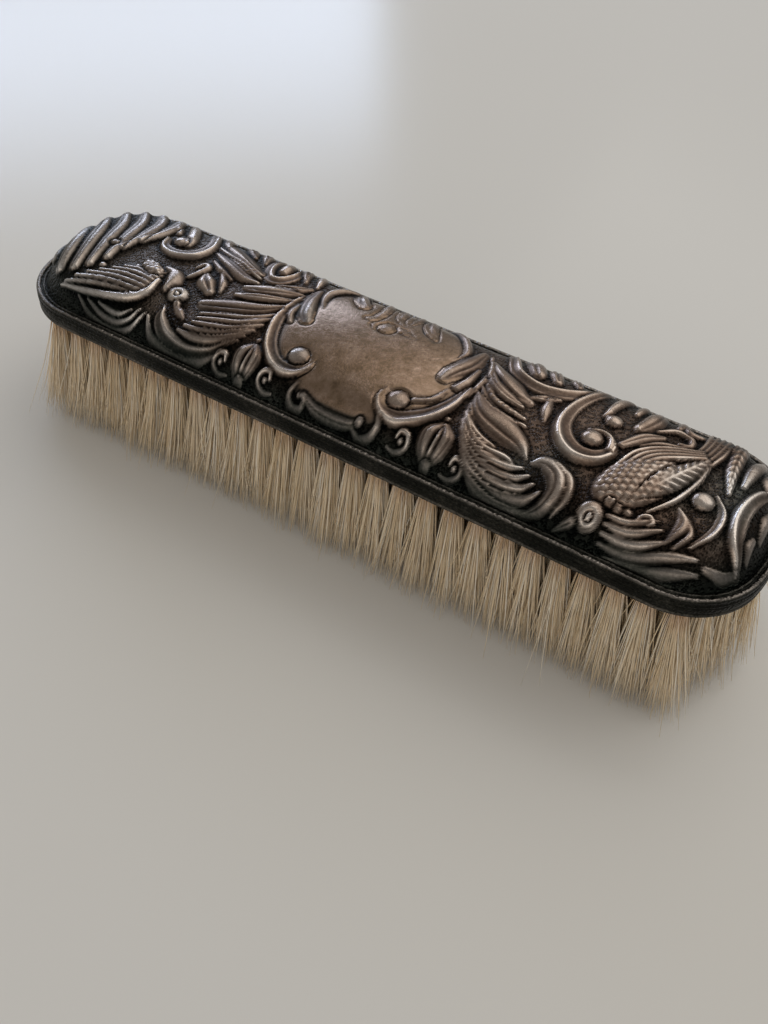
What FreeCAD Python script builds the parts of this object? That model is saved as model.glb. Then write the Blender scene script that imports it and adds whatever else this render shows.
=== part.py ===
"""Clothes brush with a stamped silver back, drawn in seven staggered rows.

Units are millimetres. X runs along the brush, Y across it and Z up, and the origin is under the
centre of the brush, on the plane that the bristle tips stand on. From the top down the brush is a
thin silver cover, the filling that backs its relief, a wooden back, and a drilled bristle board.
Each row of tufts is held by one brass wire that runs along the top of the board and dips into
every hole. The cover's lower edge is turned in under the board and holds the stack together.
"""

import FreeCAD, Part
import math
import os

Vector = FreeCAD.Vector
UP = Vector(0, 0, 1)

# ---- the plan of the brush ----
length = 170.0
width = 44.0
corner_radius = 16.0
end_radius = 45.0

# ---- the silver cover ----
sheet = 0.4
border_width = 2.2
lip_width = 1.5
dome_rise = 6.6
relief_height = 1.4
ridge_rise_ratio = 0.85
plate_height = 0.6
crown_radius = 75.0
shoulder_radius = 7.0
outer_reed_radius = 0.5
outer_reed_inset = 0.55
inner_reed_radius = 0.3
inner_reed_inset = 1.7

# ---- the wood and the filling ----
wood_gap = 0.05
board_thickness = 3.2
face_slice = 0.8
back_inset = 5.0
back_rise = 3.9
back_shoulder_radius = 4.0

# ---- the drawing that the die was cut to: the size of its field, and its main forms ----
drawing_length = 165.6
drawing_width = 39.6

# Ridges: start, middle and end of an arc in plan, and the radius of the roll that follows it.
cartouche_ridges = [
    ((-22.6, 9.6), (-22.6, -5.0), (-9.4, -14.6), 1.7),
    ((20.8, 0.2), (17.2, -10.8), (7.6, -14.6), 1.8),
    ((2.0, 17.4), (11.8, 14.4), (15.0, 3.4), 1.2),
    ((-12.4, 17.0), (-19.2, 11.2), (-17.0, 3.0), 1.2),
    ((18.4, 13.0), (17.8, 5.0), (15.0, -2.2), 2.0),
    ((-8.2, -16.6), (-0.2, -17.8), (7.6, -16.6), 1.1),
]
spray_ridges = [
    ((21.8, 16.4), (29.8, 8.2), (42.2, 14.0), 1.9),
    ((20.6, 9.8), (26.6, 4.4), (33.2, 1.0), 2.3),
    ((21.6, 0.8), (30.4, -5.6), (38.8, -11.6), 2.4),
    ((22.4, -5.2), (28.8, -12.0), (38.6, -12.6), 1.5),
    ((24.6, -13.0), (33.0, -17.0), (42.4, -15.4), 1.3),
    ((39.6, -9.6), (46.2, -13.4), (43.2, -18.0), 2.1),
    ((-36.8, 17.4), (-33.0, 8.2), (-28.6, 14.4), 1.4),
    ((-22.8, 6.2), (-29.0, 3.4), (-35.6, 0.4), 1.9),
    ((-23.2, 1.4), (-30.8, -4.9), (-40.0, -8.6), 2.3),
    ((-23.6, -5.2), (-30.0, -11.2), (-38.4, -13.4), 1.5),
    ((-26.0, -13.2), (-36.5, -17.0), (-46.4, -13.2), 1.4),
    ((-51.0, 14.0), (-43.0, 10.2), (-35.6, 7.0), 1.9),
    ((-47.0, 2.6), (-43.8, -1.6), (-40.0, -4.6), 1.9),
]
scroll_ridges = [
    ((44.6, 18.0), (39.6, 5.0), (43.4, -5.2), 1.9),
    ((39.4, -0.6), (45.6, -5.0), (51.2, 1.2), 2.1),
    ((55.4, 18.0), (54.4, 12.5), (52.4, 6.8), 1.8),
    ((-58.6, 19.0), (-51.6, 12.0), (-53.4, 3.0), 1.7),
    ((-51.0, 6.0), (-56.6, 2.6), (-61.4, 8.0), 1.6),
    ((80.4, 8.0), (76.2, -2.4), (79.2, -12.6), 1.6),
]
bird_ridges = [
    ((52.4, -13.0), (58.4, -4.6), (64.6, 5.4), 5.2),
    ((60.8, -11.6), (64.6, -4.6), (67.2, 4.6), 1.3),
    ((63.4, 6.6), (67.0, 12.6), (67.6, 20.0), 2.0),
    ((51.8, -16.6), (49.9, -18.1), (47.4, -19.2), 0.9),
    ((55.2, -17.2), (62.0, -17.4), (70.0, -13.6), 1.3),
    ((70.8, 0.6), (73.3, -7.2), (69.8, -14.8), 1.3),
    ((72.2, 18.0), (71.5, 9.2), (72.2, 0.6), 1.4),
    ((-72.2, -15.6), (-60.6, -15.6), (-49.8, -11.0), 1.2),
    ((-69.4, -12.4), (-61.0, -11.4), (-52.2, -9.2), 1.3),
    ((-66.0, -8.6), (-59.6, -7.4), (-52.6, -6.4), 1.3),
    ((-56.0, -2.4), (-50.6, -3.8), (-48.2, -8.8), 1.8),
    ((-44.4, -9.6), (-42.8, -12.2), (-40.4, -14.2), 0.9),
    ((-67.8, 19.0), (-64.0, 9.6), (-65.6, 0.2), 1.5),
    ((-72.2, 17.6), (-67.6, 8.0), (-68.2, -3.6), 1.5),
    ((-75.8, 15.4), (-71.0, 4.6), (-70.4, -7.8), 1.5),
    ((-78.8, 12.2), (-74.0, 1.2), (-72.8, -11.2), 1.5),
    ((-80.6, 7.2), (-77.4, -2.6), (-75.6, -13.0), 1.4),
]
bud_ridges = [
    ((-22.2, -10.6), (-24.0, -15.0), (-22.4, -19.0), 1.3),
    ((-22.0, -10.6), (-20.5, -15.0), (-21.8, -19.0), 1.3),
    ((21.6, -9.6), (19.5, -14.6), (21.2, -19.0), 1.5),
    ((21.8, -9.6), (23.4, -14.6), (21.8, -19.0), 1.5),
]

# Beads: middle and radius of the round eyes of the scrolls and of the birds' heads.
beads = [
    ((-12.2, -10.4), 2.6),
    ((10.2, -10.6), 2.6),
    ((46.2, 0.6), 2.2),
    ((48.2, 7.4), 1.8),
    ((-57.6, 7.6), 1.8),
    ((69.4, -3.7), 2.2),
    ((52.9, -15.0), 2.5),
    ((-45.2, -8.4), 2.3),
    ((-2.4, 5.9), 1.6),
]

# The plain plate in the middle: its middle and half sizes in plan.
plate_middle = (-0.8, 0.0)
plate_halves = (16.4, 12.0)

# ---- the tufts ----
bristle_length = 28.0
row_count = 7
row_pitch = 5.9
tuft_pitch = 5.62
tuft_edge_gap = 3.25
knot_radius = 1.65
knot_gap = 0.05
strand_root = 1.3
strand_tip = 1.9
strand_root_offset = 0.75
strand_tip_offset = 1.4
tip_spread_along = 1.05
tip_spread_across = 1.13
tuft_turn_deg = 47.0
row_slice_gap = 0.1

# ---- the drawing wires ----
wire_radius = 0.3
wire_gap = 0.1
wire_loop_gap = 0.05
wire_hole_depth = 1.2

# ---- levels, from the sizes above ----
board_bottom = bristle_length + sheet
board_top = board_bottom + board_thickness
ledge_top = board_top + sheet
face_top = board_bottom + face_slice
hole_top = board_top - wire_hole_depth
knot_top = hole_top - wire_loop_gap
wire_level = board_top - wire_radius - wire_gap


def outline_wire(half_length, half_width, corner, end, z):
    """Plan curve of straight sides, four corner arcs and two flatter end arcs, all tangent."""
    end_centre = half_length - end
    corner_y = half_width - corner
    corner_x = end_centre + math.sqrt((end - corner) ** 2 - corner_y**2)
    lean = math.atan2(corner_y, corner_x - end_centre)

    def on_corner(sign_x, sign_y, angle):
        x = corner_x + corner * math.cos(angle)
        y = corner_y + corner * math.sin(angle)
        return Vector(sign_x * x, sign_y * y, z)

    def on_end(sign_x, angle):
        x = end_centre + end * math.cos(angle)
        return Vector(sign_x * x, end * math.sin(angle), z)

    quarter = math.pi / 2
    middle = (lean + quarter) / 2
    edges = []
    for side in (1, -1):
        edges += [
            Part.Arc(on_end(side, -lean * side), on_end(side, 0), on_end(side, lean * side)).toShape(),
            Part.Arc(
                on_corner(side, side, lean),
                on_corner(side, side, middle),
                on_corner(side, side, quarter),
            ).toShape(),
            Part.LineSegment(
                on_corner(side, side, quarter), on_corner(-side, side, quarter)
            ).toShape(),
            Part.Arc(
                on_corner(-side, side, quarter),
                on_corner(-side, side, middle),
                on_corner(-side, side, lean),
            ).toShape(),
        ]
    return Part.Wire(edges)


def inset_wire(inset, z):
    """The brush's own plan curve, moved inwards by inset."""
    return outline_wire(
        length / 2 - inset, width / 2 - inset, corner_radius - inset, end_radius - inset, z
    )


def prism(inset, low, high):
    """Upright block with the brush's plan, inset all round."""
    return Part.Face(inset_wire(inset, low)).extrude(UP * (high - low))


def crowned_block(inset, base, rise, crown, shoulder):
    """Block with the brush's plan, a top that is round across Y, and a rounded shoulder."""
    depth = shoulder + rise
    top = base + rise
    half = width / 2
    edge_level = top - crown + math.sqrt(crown**2 - half**2)
    floor = base - depth
    side = length / 2
    corners = [
        Vector(-side, -half, edge_level),
        Vector(-side, half, edge_level),
        Vector(-side, half, floor),
        Vector(-side, -half, floor),
    ]
    arc = Part.Arc(corners[0], Vector(-side, 0, top), corners[1]).toShape()
    profile = Part.Wire([arc] + Part.makePolygon(corners[1:] + corners[:1]).Edges)
    vault = Part.Face(profile).extrude(Vector(length, 0, 0))
    block = prism(inset, floor + shoulder / 2, top + shoulder).common(vault)
    crown_face = max(block.Faces, key=lambda face: face.CenterOfMass.z)
    rounded = block.makeFillet(shoulder, crown_face.Edges)
    return rounded.common(prism(inset, base, top + shoulder))


def dome(inset, base, rise):
    """The raised part of the cover, or its inside when inset is the thickness."""
    plan = border_width + inset
    return crowned_block(plan, base, rise, crown_radius - inset, shoulder_radius - inset)


def dome_level(place):
    """Height of the plain dome over a place in plan: the crown, less the drop of the shoulder."""
    crown_level = ledge_top + dome_rise - crown_radius + math.sqrt(crown_radius**2 - place.y**2)
    to_side = width / 2 - abs(place.y)
    to_end = reach_at(place.y, 0) - abs(place.x)
    into_shoulder = shoulder_radius + border_width - min(to_side, to_end)
    if into_shoulder <= 0:
        return crown_level
    drop = shoulder_radius - math.sqrt(shoulder_radius**2 - min(into_shoulder, shoulder_radius) ** 2)
    return crown_level - drop


def over_dome(place, above):
    """A place on the drawing, laid on the dome and raised by above."""
    across = (width - 2 * border_width) / drawing_width
    along = (length - 2 * border_width) / drawing_length
    plan = Vector(place[0] * along, place[1] * across, 0)
    return plan + UP * (dome_level(plan) + above)


def roll(start, middle, end, radius, inset):
    """Round bar along an arc that rises out of the dome at one end and sinks into it at the other."""
    rise = min(relief_height, ridge_rise_ratio * radius)
    sunk = -radius - sheet / 2
    ends = [over_dome(start, sunk), over_dome(end, sunk)]
    top = over_dome(middle, rise - radius)
    centre = Part.Circle(ends[0], top, ends[1]).Center
    axis = (top - ends[0]).cross(ends[1] - top).normalize()
    ray = ends[0] - centre
    turn_deg = math.degrees(Part.Arc(ends[0], top, ends[1]).toShape().Length / ray.Length)
    disc = Part.Face(Part.Wire(Part.makeCircle(radius - inset, ends[0], axis.cross(ray))))
    return disc.revolve(centre, axis, turn_deg)


def bead(place, radius, inset):
    """Ball that stands out of the dome by the height of the relief."""
    return Part.makeSphere(radius - inset, over_dome(place, relief_height - radius))


def plate(inset):
    """The plain oval plate, cut off by a dome that is higher than the cover's own."""
    middle = over_dome(plate_middle, 0)
    low = Vector(middle.x, middle.y, ledge_top)
    halves = [half - inset for half in plate_halves]
    oval = Part.Face(Part.Wire(Part.Ellipse(low, *halves).toShape()))
    return oval.extrude(UP * dome_rise * 2).common(dome(inset, ledge_top - inset, dome_rise + plate_height))


def stamped_forms(inset):
    """The main forms of the relief: their outer skin, or the surface that lies inset within it."""
    ridges = cartouche_ridges + spray_ridges + scroll_ridges + bird_ridges + bud_ridges
    forms = [roll(*ridge, inset) for ridge in ridges]
    forms += [bead(*place_and_radius, inset) for place_and_radius in beads]
    room = prism(border_width + inset, ledge_top, ledge_top + 2 * dome_rise)
    return [form.common(room) for form in forms] + [plate(inset)]


def reed(inset, radius):
    """Raised bead that follows the border."""
    path = inset_wire(inset, ledge_top)
    start = path.Edges[0].Vertexes[0].Point
    tangent = path.Edges[0].tangentAt(path.Edges[0].FirstParameter)
    profile = Part.Wire(Part.makeCircle(radius, start, tangent))
    return path.makePipeShell([profile], True, True)


def make_silver_cover():
    body = prism(0, bristle_length, ledge_top).fuse(dome(0, ledge_top, dome_rise))
    outer_reed = reed(outer_reed_inset, outer_reed_radius)
    inner_reed = reed(inner_reed_inset, inner_reed_radius)
    body = body.fuse([outer_reed, inner_reed] + stamped_forms(0))
    room_for_board = prism(sheet, board_bottom, board_top)
    mouth = prism(lip_width, bristle_length, board_bottom)
    hollow = dome(sheet, board_top, dome_rise).fuse([room_for_board, mouth] + stamped_forms(sheet))
    return body.cut(hollow).removeSplitter()


def row_y(row):
    return (row - (row_count - 1) / 2) * row_pitch


def reach_at(y, inset):
    """How far the inset plan curve reaches along X at that Y."""
    end_centre = length / 2 - end_radius
    corner_y = width / 2 - corner_radius
    corner_x = end_centre + math.sqrt((end_radius - corner_radius) ** 2 - corner_y**2)
    end = end_radius - inset
    corner = corner_radius - inset
    meeting = end * corner_y / (end_radius - corner_radius)
    if abs(y) <= meeting:
        return end_centre + math.sqrt(end**2 - y**2)
    return corner_x + math.sqrt(max(corner**2 - (abs(y) - corner_y) ** 2, 0))


def tuft_centres(row):
    """Tufts of one row, evenly spaced, with alternate rows half a pitch along."""
    y = row_y(row)
    outer_rows = (row_count - 1) / 2 - abs(row - (row_count - 1) / 2)
    start = tuft_pitch / 2 if round(outer_rows) % 2 else 0.0
    steps = int((reach_at(y, tuft_edge_gap) - start) / tuft_pitch)
    right = [start + tuft_pitch * step for step in range(steps + 1)]
    left = [-x for x in right if x > 0]
    return [Vector(x, y, 0) for x in sorted(left + right)]


def row_slice(row, low, high):
    """The strip of the board's face that one row stands in."""
    half = row_pitch / 2 - row_slice_gap / 2
    at_edge_low = row == 0
    at_edge_high = row == row_count - 1
    y_low = -width / 2 if at_edge_low else row_y(row) - half
    y_high = width / 2 if at_edge_high else row_y(row) + half
    strip = Part.makeBox(length, y_high - y_low, high - low, Vector(-length / 2, y_low, low))
    return strip.common(prism(lip_width + wood_gap, low, high))


def strand(centre, offset, turn):
    """Four-sided strand, widening from its root in the board to a flat tip at z = 0."""
    root_at = Vector(centre.x, centre.y, face_top - face_slice / 2)
    tip_at = Vector(centre.x * tip_spread_along, centre.y * tip_spread_across, 0)
    levels = (
        (root_at, strand_root, strand_root_offset),
        (tip_at, strand_tip, strand_tip_offset),
    )
    rings = []
    for place, size, shift in levels:
        middle = place + Vector(math.cos(turn), math.sin(turn), 0) * (offset * shift)
        ring = []
        for corner in range(4):
            angle = turn + math.pi / 4 + corner * math.pi / 2
            reach = size / math.sqrt(2)
            ring.append(middle + Vector(reach * math.cos(angle), reach * math.sin(angle), 0))
        rings.append(ring)
    root, tip = rings
    faces = [Part.Face(Part.makePolygon(ring + ring[:1])) for ring in rings]
    for a in range(4):
        b = (a + 1) % 4
        faces.append(Part.Face(Part.makePolygon([root[a], root[b], tip[b], tip[a], root[a]])))
    solid = Part.Solid(Part.Shell(faces))
    if solid.Volume < 0:
        solid.reverse()
    return solid


def make_tuft_row(row):
    """One row: its slice of the board's face, the knots in their holes and two strands a tuft."""
    pieces = []
    for centre in tuft_centres(row):
        knot_base = centre + UP * (face_top - face_slice / 2)
        pieces.append(Part.makeCylinder(knot_radius, knot_top - knot_base.z, knot_base))
        half_steps = round(2 * centre.x / tuft_pitch)
        turn = math.radians(tuft_turn_deg * half_steps)
        pieces += [strand(centre, 1, turn), strand(centre, -1, turn)]
    return row_slice(row, board_bottom, face_top).fuse(pieces)


def make_drawing_wire(row):
    """One wire along the row, with a loop down to each tuft."""
    centres = tuft_centres(row)
    first = centres[0] + UP * wire_level
    wire = Part.makeCylinder(wire_radius, centres[-1].x - centres[0].x, first, Vector(1, 0, 0))
    loops = [
        Part.makeCylinder(wire_radius, wire_level - hole_top, centre + UP * hole_top)
        for centre in centres
    ]
    return wire.fuse(loops)


def make_bristle_board():
    board = prism(sheet + wood_gap, board_bottom, board_top)
    tools = [prism(lip_width, board_bottom, face_top)]
    groove = wire_radius + wire_gap
    for row in range(row_count):
        centres = tuft_centres(row)
        for centre in centres:
            tools.append(
                Part.makeCylinder(knot_radius + knot_gap, hole_top - face_top, centre + UP * face_top)
            )
            tools.append(Part.makeCylinder(groove, board_top - hole_top, centre + UP * hole_top))
        run = centres[-1].x - centres[0].x
        corner = Vector(centres[0].x, centres[0].y - groove, board_top - 2 * groove)
        tools.append(Part.makeBox(run, 2 * groove, 2 * groove, corner))
    return board.cut(tools)


def make_wooden_back():
    return crowned_block(back_inset, board_top, back_rise, crown_radius, back_shoulder_radius)


def make_back_filling():
    """What stands between the wood and the cover, and holds the relief up from inside."""
    gap = sheet + wood_gap
    stuff = dome(gap, board_top, dome_rise - wood_gap).fuse(stamped_forms(gap))
    return stuff.cut(make_wooden_back()).removeSplitter()


def export(name, shape):
    if shape.ShapeType != "Solid" and len(shape.Solids) == 1:
        shape = shape.Solids[0]
    shape.exportStep(f"parts/{name}.step")
    box = shape.BoundBox
    print(
        f"{name}: solids {len(shape.Solids)} valid {shape.isValid()} volume {shape.Volume:.1f} "
        f"x {box.XMin:.2f} {box.XMax:.2f} y {box.YMin:.2f} {box.YMax:.2f} z {box.ZMin:.2f} {box.ZMax:.2f}"
    )


def main():
    os.makedirs("parts", exist_ok=True)
    export("silver_cover", make_silver_cover())
    export("back_filling", make_back_filling())
    export("wooden_back", make_wooden_back())
    export("bristle_board", make_bristle_board())
    for row in range(row_count):
        export(f"drawing_wire_{row + 1}", make_drawing_wire(row))
        export(f"tuft_row_{row + 1}", make_tuft_row(row))


main()
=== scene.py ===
# %% [markdown]
# # A clothes brush with a stamped silver back
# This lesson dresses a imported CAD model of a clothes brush. The CAD model holds the true sizes, so
# the first step loads it and keeps its box, and every later place is worked out from it.

# %% Load the frame
import math
import bpy
import numpy as np
from mathutils import Matrix, Quaternion, Vector


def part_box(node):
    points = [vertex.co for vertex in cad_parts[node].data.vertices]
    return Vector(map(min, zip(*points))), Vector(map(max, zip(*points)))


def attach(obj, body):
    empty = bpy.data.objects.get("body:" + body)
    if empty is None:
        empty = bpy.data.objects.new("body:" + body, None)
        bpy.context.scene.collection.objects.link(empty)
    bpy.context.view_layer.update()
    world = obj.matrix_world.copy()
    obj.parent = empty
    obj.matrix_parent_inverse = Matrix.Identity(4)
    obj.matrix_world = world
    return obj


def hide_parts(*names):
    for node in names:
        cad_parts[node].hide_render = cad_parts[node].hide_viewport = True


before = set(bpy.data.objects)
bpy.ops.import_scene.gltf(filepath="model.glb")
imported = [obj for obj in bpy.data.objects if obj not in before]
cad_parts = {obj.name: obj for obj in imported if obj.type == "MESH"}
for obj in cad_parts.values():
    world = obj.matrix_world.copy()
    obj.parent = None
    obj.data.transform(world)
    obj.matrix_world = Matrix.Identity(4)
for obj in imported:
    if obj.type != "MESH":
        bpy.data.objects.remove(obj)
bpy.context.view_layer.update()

MM = 0.001
cover_low, cover_high = (np.array(corner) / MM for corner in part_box("silver_cover"))
board_low, board_high = (np.array(corner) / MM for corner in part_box("bristle_board"))
print("cover", cover_low.round(2), cover_high.round(2))

# %% [markdown]
# The camera stands above the right end of the brush and looks down along it, as a person who has
# just put it on a worktop would. A roll of a few degrees comes from a camera held in the hand.

# %% Camera
CAMERA_PLACE = Vector((77.8, -136.0, 161.5)) * MM
CAMERA_TARGET = Vector((19.8, -30.3, 30.0)) * MM
CAMERA_ROLL = math.radians(3.95)

camera_data = bpy.data.cameras.new("camera")
camera_data.sensor_width = 36.0
camera_data.lens = 34.17
camera_data.clip_start = 0.01
camera = bpy.data.objects.new("camera", camera_data)
bpy.context.scene.collection.objects.link(camera)
aim = (CAMERA_TARGET - CAMERA_PLACE).to_track_quat("-Z", "Y")
turned = aim @ Quaternion((0, 0, 1), CAMERA_ROLL)
camera.matrix_world = Matrix.Translation(CAMERA_PLACE) @ turned.to_matrix().to_4x4()
bpy.context.scene.camera = camera
bpy.context.scene.view_settings.view_transform = "Standard"
print("camera at", tuple(round(value, 4) for value in CAMERA_PLACE), "m")

# %% [markdown]
# Colours are written as they look on a screen, in sRGB hex, and a shader wants them linear. One
# function does that, and one more adds a node with its settings and links. The rest are short
# forms of it, so that a material reads as a list of what it is made of.

# %% Colour and node helpers
def linear(hex_colour):
    """sRGB hex to linear: c / 12.92 below 0.04045, else ((c + 0.055) / 1.055) ^ 2.4, and alpha 1."""
    value = np.array([int(hex_colour[i:i + 2], 16) for i in (1, 3, 5)]) / 255
    low, high = value / 12.92, ((value + 0.055) / 1.055) ** 2.4
    return (*np.where(value <= 0.04045, low, high), 1.0)


def add(tree, kind, settings=None, **inputs):
    """Add a node. Settings are its properties, inputs are values or sockets to link from."""
    node = tree.nodes.new(kind)
    for name, value in (settings or {}).items():
        setattr(node, name, value)
    for name, value in inputs.items():
        key = int(name[1:]) if name[1:].isdigit() else name.replace("_", " ")
        if isinstance(value, bpy.types.NodeSocket):
            tree.links.new(value, node.inputs[key])
        else:
            node.inputs[key].default_value = value
    return node


# %% [markdown]
# These short forms build a material step by step: values from the mesh, noise, arithmetic, ramps
# and mixes, and at the end the one surface.

# %% Short forms
def new_material(name):
    """An empty material and its node tree."""
    material = bpy.data.materials.new(name)
    material.use_nodes = True
    material.node_tree.nodes.clear()
    return material, material.node_tree


def surface(tree, **inputs):
    """The material's one shader, a principled surface, joined to the output."""
    shader = add(tree, "ShaderNodeBsdfPrincipled", **inputs)
    add(tree, "ShaderNodeOutputMaterial", Surface=shader.outputs[0])


def millimetres(tree):
    """Object coordinates in millimetres."""
    place = add(tree, "ShaderNodeTexCoord").outputs["Object"]
    in_mm = add(tree, "ShaderNodeVectorMath", {"operation": "SCALE"}, Vector=place, Scale=1 / MM)
    return in_mm.outputs[0]


def point_value(tree, name):
    """A value that the mesh carries on each of its points."""
    return add(tree, "ShaderNodeAttribute", {"attribute_name": name}).outputs["Fac"]


def noise(tree, place, scale, detail, roughness=0.5):
    """Cloudy noise from 0 to 1. Scale is in features per millimetre."""
    return add(tree, "ShaderNodeTexNoise", Vector=place, Scale=scale, Detail=detail,
               Roughness=roughness).outputs["Fac"]


def combine(tree, operation, first, second, clamp=False):
    """One step of arithmetic on two values."""
    settings = {"operation": operation, "use_clamp": clamp}
    return add(tree, "ShaderNodeMath", settings, i0=first, i1=second).outputs[0]


def mix(tree, factor, first, second):
    """First colour at 0, second colour at 1."""
    settings = {"data_type": "RGBA"}
    return add(tree, "ShaderNodeMix", settings, Factor=factor, i6=first, i7=second).outputs[2]


def bump(tree, height, strength, distance_mm):
    """Fine unevenness of the surface, as a normal."""
    return add(tree, "ShaderNodeBump", Height=height, Strength=strength,
               Distance=distance_mm * MM).outputs[0]


def colour_ramp(tree, factor, stops):
    """Colour ramp with (position, sRGB hex) stops."""
    ramp = add(tree, "ShaderNodeValToRGB", Fac=factor)
    elements = ramp.color_ramp.elements
    while len(elements) < len(stops):
        elements.new(0.5)
    for element, (position, hex_colour) in zip(elements, stops):
        element.position = position
        element.color = linear(hex_colour)
    return ramp.outputs["Color"]


def grey_ramp(tree, factor, from_low, from_high, to_low=0.0, to_high=1.0):
    """Map a range of values to another, clamped at both ends."""
    node = add(tree, "ShaderNodeMapRange", Value=factor)
    for socket, value in zip(list(node.inputs)[1:5], (from_low, from_high, to_low, to_high)):
        socket.default_value = value
    return node.outputs["Result"]


# %% [markdown]
# The brush stands on a plain pale worktop. A window behind and to the left gives the one clear
# highlight, and a soft grey room fills the rest, so that the silver has something dark and
# something bright to mirror.

# %% Worktop and light
LIGHT_TARGET = Vector((0, 0, 0.03))


def make_floor():
    """A wide plain worktop at the level of the bristle tips."""
    half = 3.0
    corners = [(-half, -half, 0), (half, -half, 0), (half, half, 0), (-half, half, 0)]
    mesh = bpy.data.meshes.new("worktop")
    mesh.from_pydata(corners, [], [(0, 1, 2, 3)])
    material, tree = new_material("honed_quartz_worktop")
    surface(tree, Base_Color=linear("#d8d5d0"), Roughness=0.22, Specular_IOR_Level=0.16)
    mesh.materials.append(material)
    floor = bpy.data.objects.new("worktop", mesh)
    bpy.context.scene.collection.objects.link(floor)


def make_area_light(name, place, size, power, hex_colour):
    """A rectangular light turned towards the brush. Places and sizes in metres, power in watts."""
    data = bpy.data.lights.new(name, "AREA")
    data.shape = "RECTANGLE"
    data.size, data.size_y = size
    data.energy = power
    data.color = linear(hex_colour)[:3]
    lamp = bpy.data.objects.new(name, data)
    lamp.location = place
    lamp.rotation_euler = (LIGHT_TARGET - Vector(place)).to_track_quat("-Z", "Y").to_euler()
    bpy.context.scene.collection.objects.link(lamp)


def make_world(hex_colour, strength):
    """An even grey room."""
    world = bpy.data.worlds.new("grey_room")
    world.use_nodes = True
    bpy.context.scene.world = world
    background = world.node_tree.nodes["Background"]
    background.inputs["Color"].default_value = linear(hex_colour)
    background.inputs["Strength"].default_value = strength


make_floor()
make_world("#b6b5b2", 0.84)
make_area_light("window", (-1.2, 1.12, 0.6), (0.95, 0.34), 6.3, "#cfe1ff")
make_area_light("ceiling", (0.4, 1.2, 1.6), (2.6, 1.8), 16.5, "#fbf8f2")
make_area_light("room", (0.3, -1.8, 0.9), (2.4, 1.6), 7.0, "#fff4e6")
print("lights", [light.name for light in bpy.data.lights])

# %% [markdown]
# ## The plan of the brush
# The outline has straight sides, four corner arcs and two flatter end arcs, all tangent. Curves
# that run inside it keep the same centres, so one distance says how far in a point lies.

# %% Plan and dome sizes, mm
HALF_LENGTH, HALF_WIDTH = cover_high[0], cover_high[1]
CORNER_RADIUS, END_RADIUS = 16.0, 45.0
SHEET = 0.4
BORDER = 2.2
SHOULDER = 7.5
CROWN_RADIUS = 75.0
LIP = 1.5
RIM_BOTTOM = cover_low[2]
LEDGE = board_high[2] + SHEET
RELIEF = 1.4
DOME_RISE = cover_high[2] - LEDGE - RELIEF
END_CENTRE = HALF_LENGTH - END_RADIUS
CORNER_Y = HALF_WIDTH - CORNER_RADIUS
CORNER_X = END_CENTRE + math.sqrt((END_RADIUS - CORNER_RADIUS) ** 2 - CORNER_Y ** 2)
LEAN = math.atan2(CORNER_Y, CORNER_X - END_CENTRE)
print("ledge", LEDGE, "dome rise", DOME_RISE)


def inset_at(x, y):
    """Distance in from the outline: side, corner-arc or end-arc radius less the distance used."""
    x, y = np.abs(x), np.abs(y)
    side = HALF_WIDTH - y
    corner = CORNER_RADIUS - np.hypot(x - CORNER_X, y - CORNER_Y)
    end = END_RADIUS - np.hypot(x - END_CENTRE, y)
    in_corner = y * (CORNER_X - END_CENTRE) > CORNER_Y * (x - END_CENTRE)
    return np.where(x < CORNER_X, side, np.where(in_corner, corner, end))


def reach_at(y, inset):
    """Half length of the inset outline at y: the end arc near the middle, else the corner arc."""
    y = np.abs(y)
    end = END_RADIUS - inset
    corner = CORNER_RADIUS - inset
    on_end = END_CENTRE + np.sqrt(end ** 2 - y ** 2)
    on_corner = CORNER_X + np.sqrt(np.clip(corner ** 2 - (y - CORNER_Y) ** 2, 0, None))
    return np.where(y < end * math.sin(LEAN), on_end, on_corner)


def outline(count):
    """Even points round the outline with their outward directions, counter-clockwise."""
    quarter = math.pi / 2
    turns = [np.linspace(-LEAN, LEAN, 200), np.linspace(LEAN, quarter, 200)]
    end = np.stack([END_CENTRE + END_RADIUS * np.cos(turns[0]), END_RADIUS * np.sin(turns[0])], 1)
    arc = np.stack([CORNER_X + CORNER_RADIUS * np.cos(turns[1]),
                    CORNER_Y + CORNER_RADIUS * np.sin(turns[1])], 1)
    side = np.stack([np.linspace(CORNER_X, -CORNER_X, 400), np.full(400, HALF_WIDTH)], 1)
    half = np.vstack([end[:-1], arc[:-1], side[:-1], (arc * (-1, 1))[::-1][:-1]])
    whole = np.vstack([half, -half, half[:1]])
    steps = np.r_[0, np.cumsum(np.hypot(*np.diff(whole, axis=0).T))]
    even = np.linspace(0, steps[-1], count, endpoint=False)
    points = np.stack([np.interp(even, steps, whole[:, k]) for k in (0, 1)], 1)
    run = np.roll(points, -1, 0) - np.roll(points, 1, 0)
    outward = np.stack([run[:, 1], -run[:, 0]], 1) / np.hypot(*run.T)[:, None]
    return points, outward


# %% [markdown]
# ## From arrays to a mesh
# Every surface here is worked out as whole numpy arrays. This helper puts the points, the faces
# and any named values that a material will read into a mesh, and rides it on the brush's body.

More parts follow.
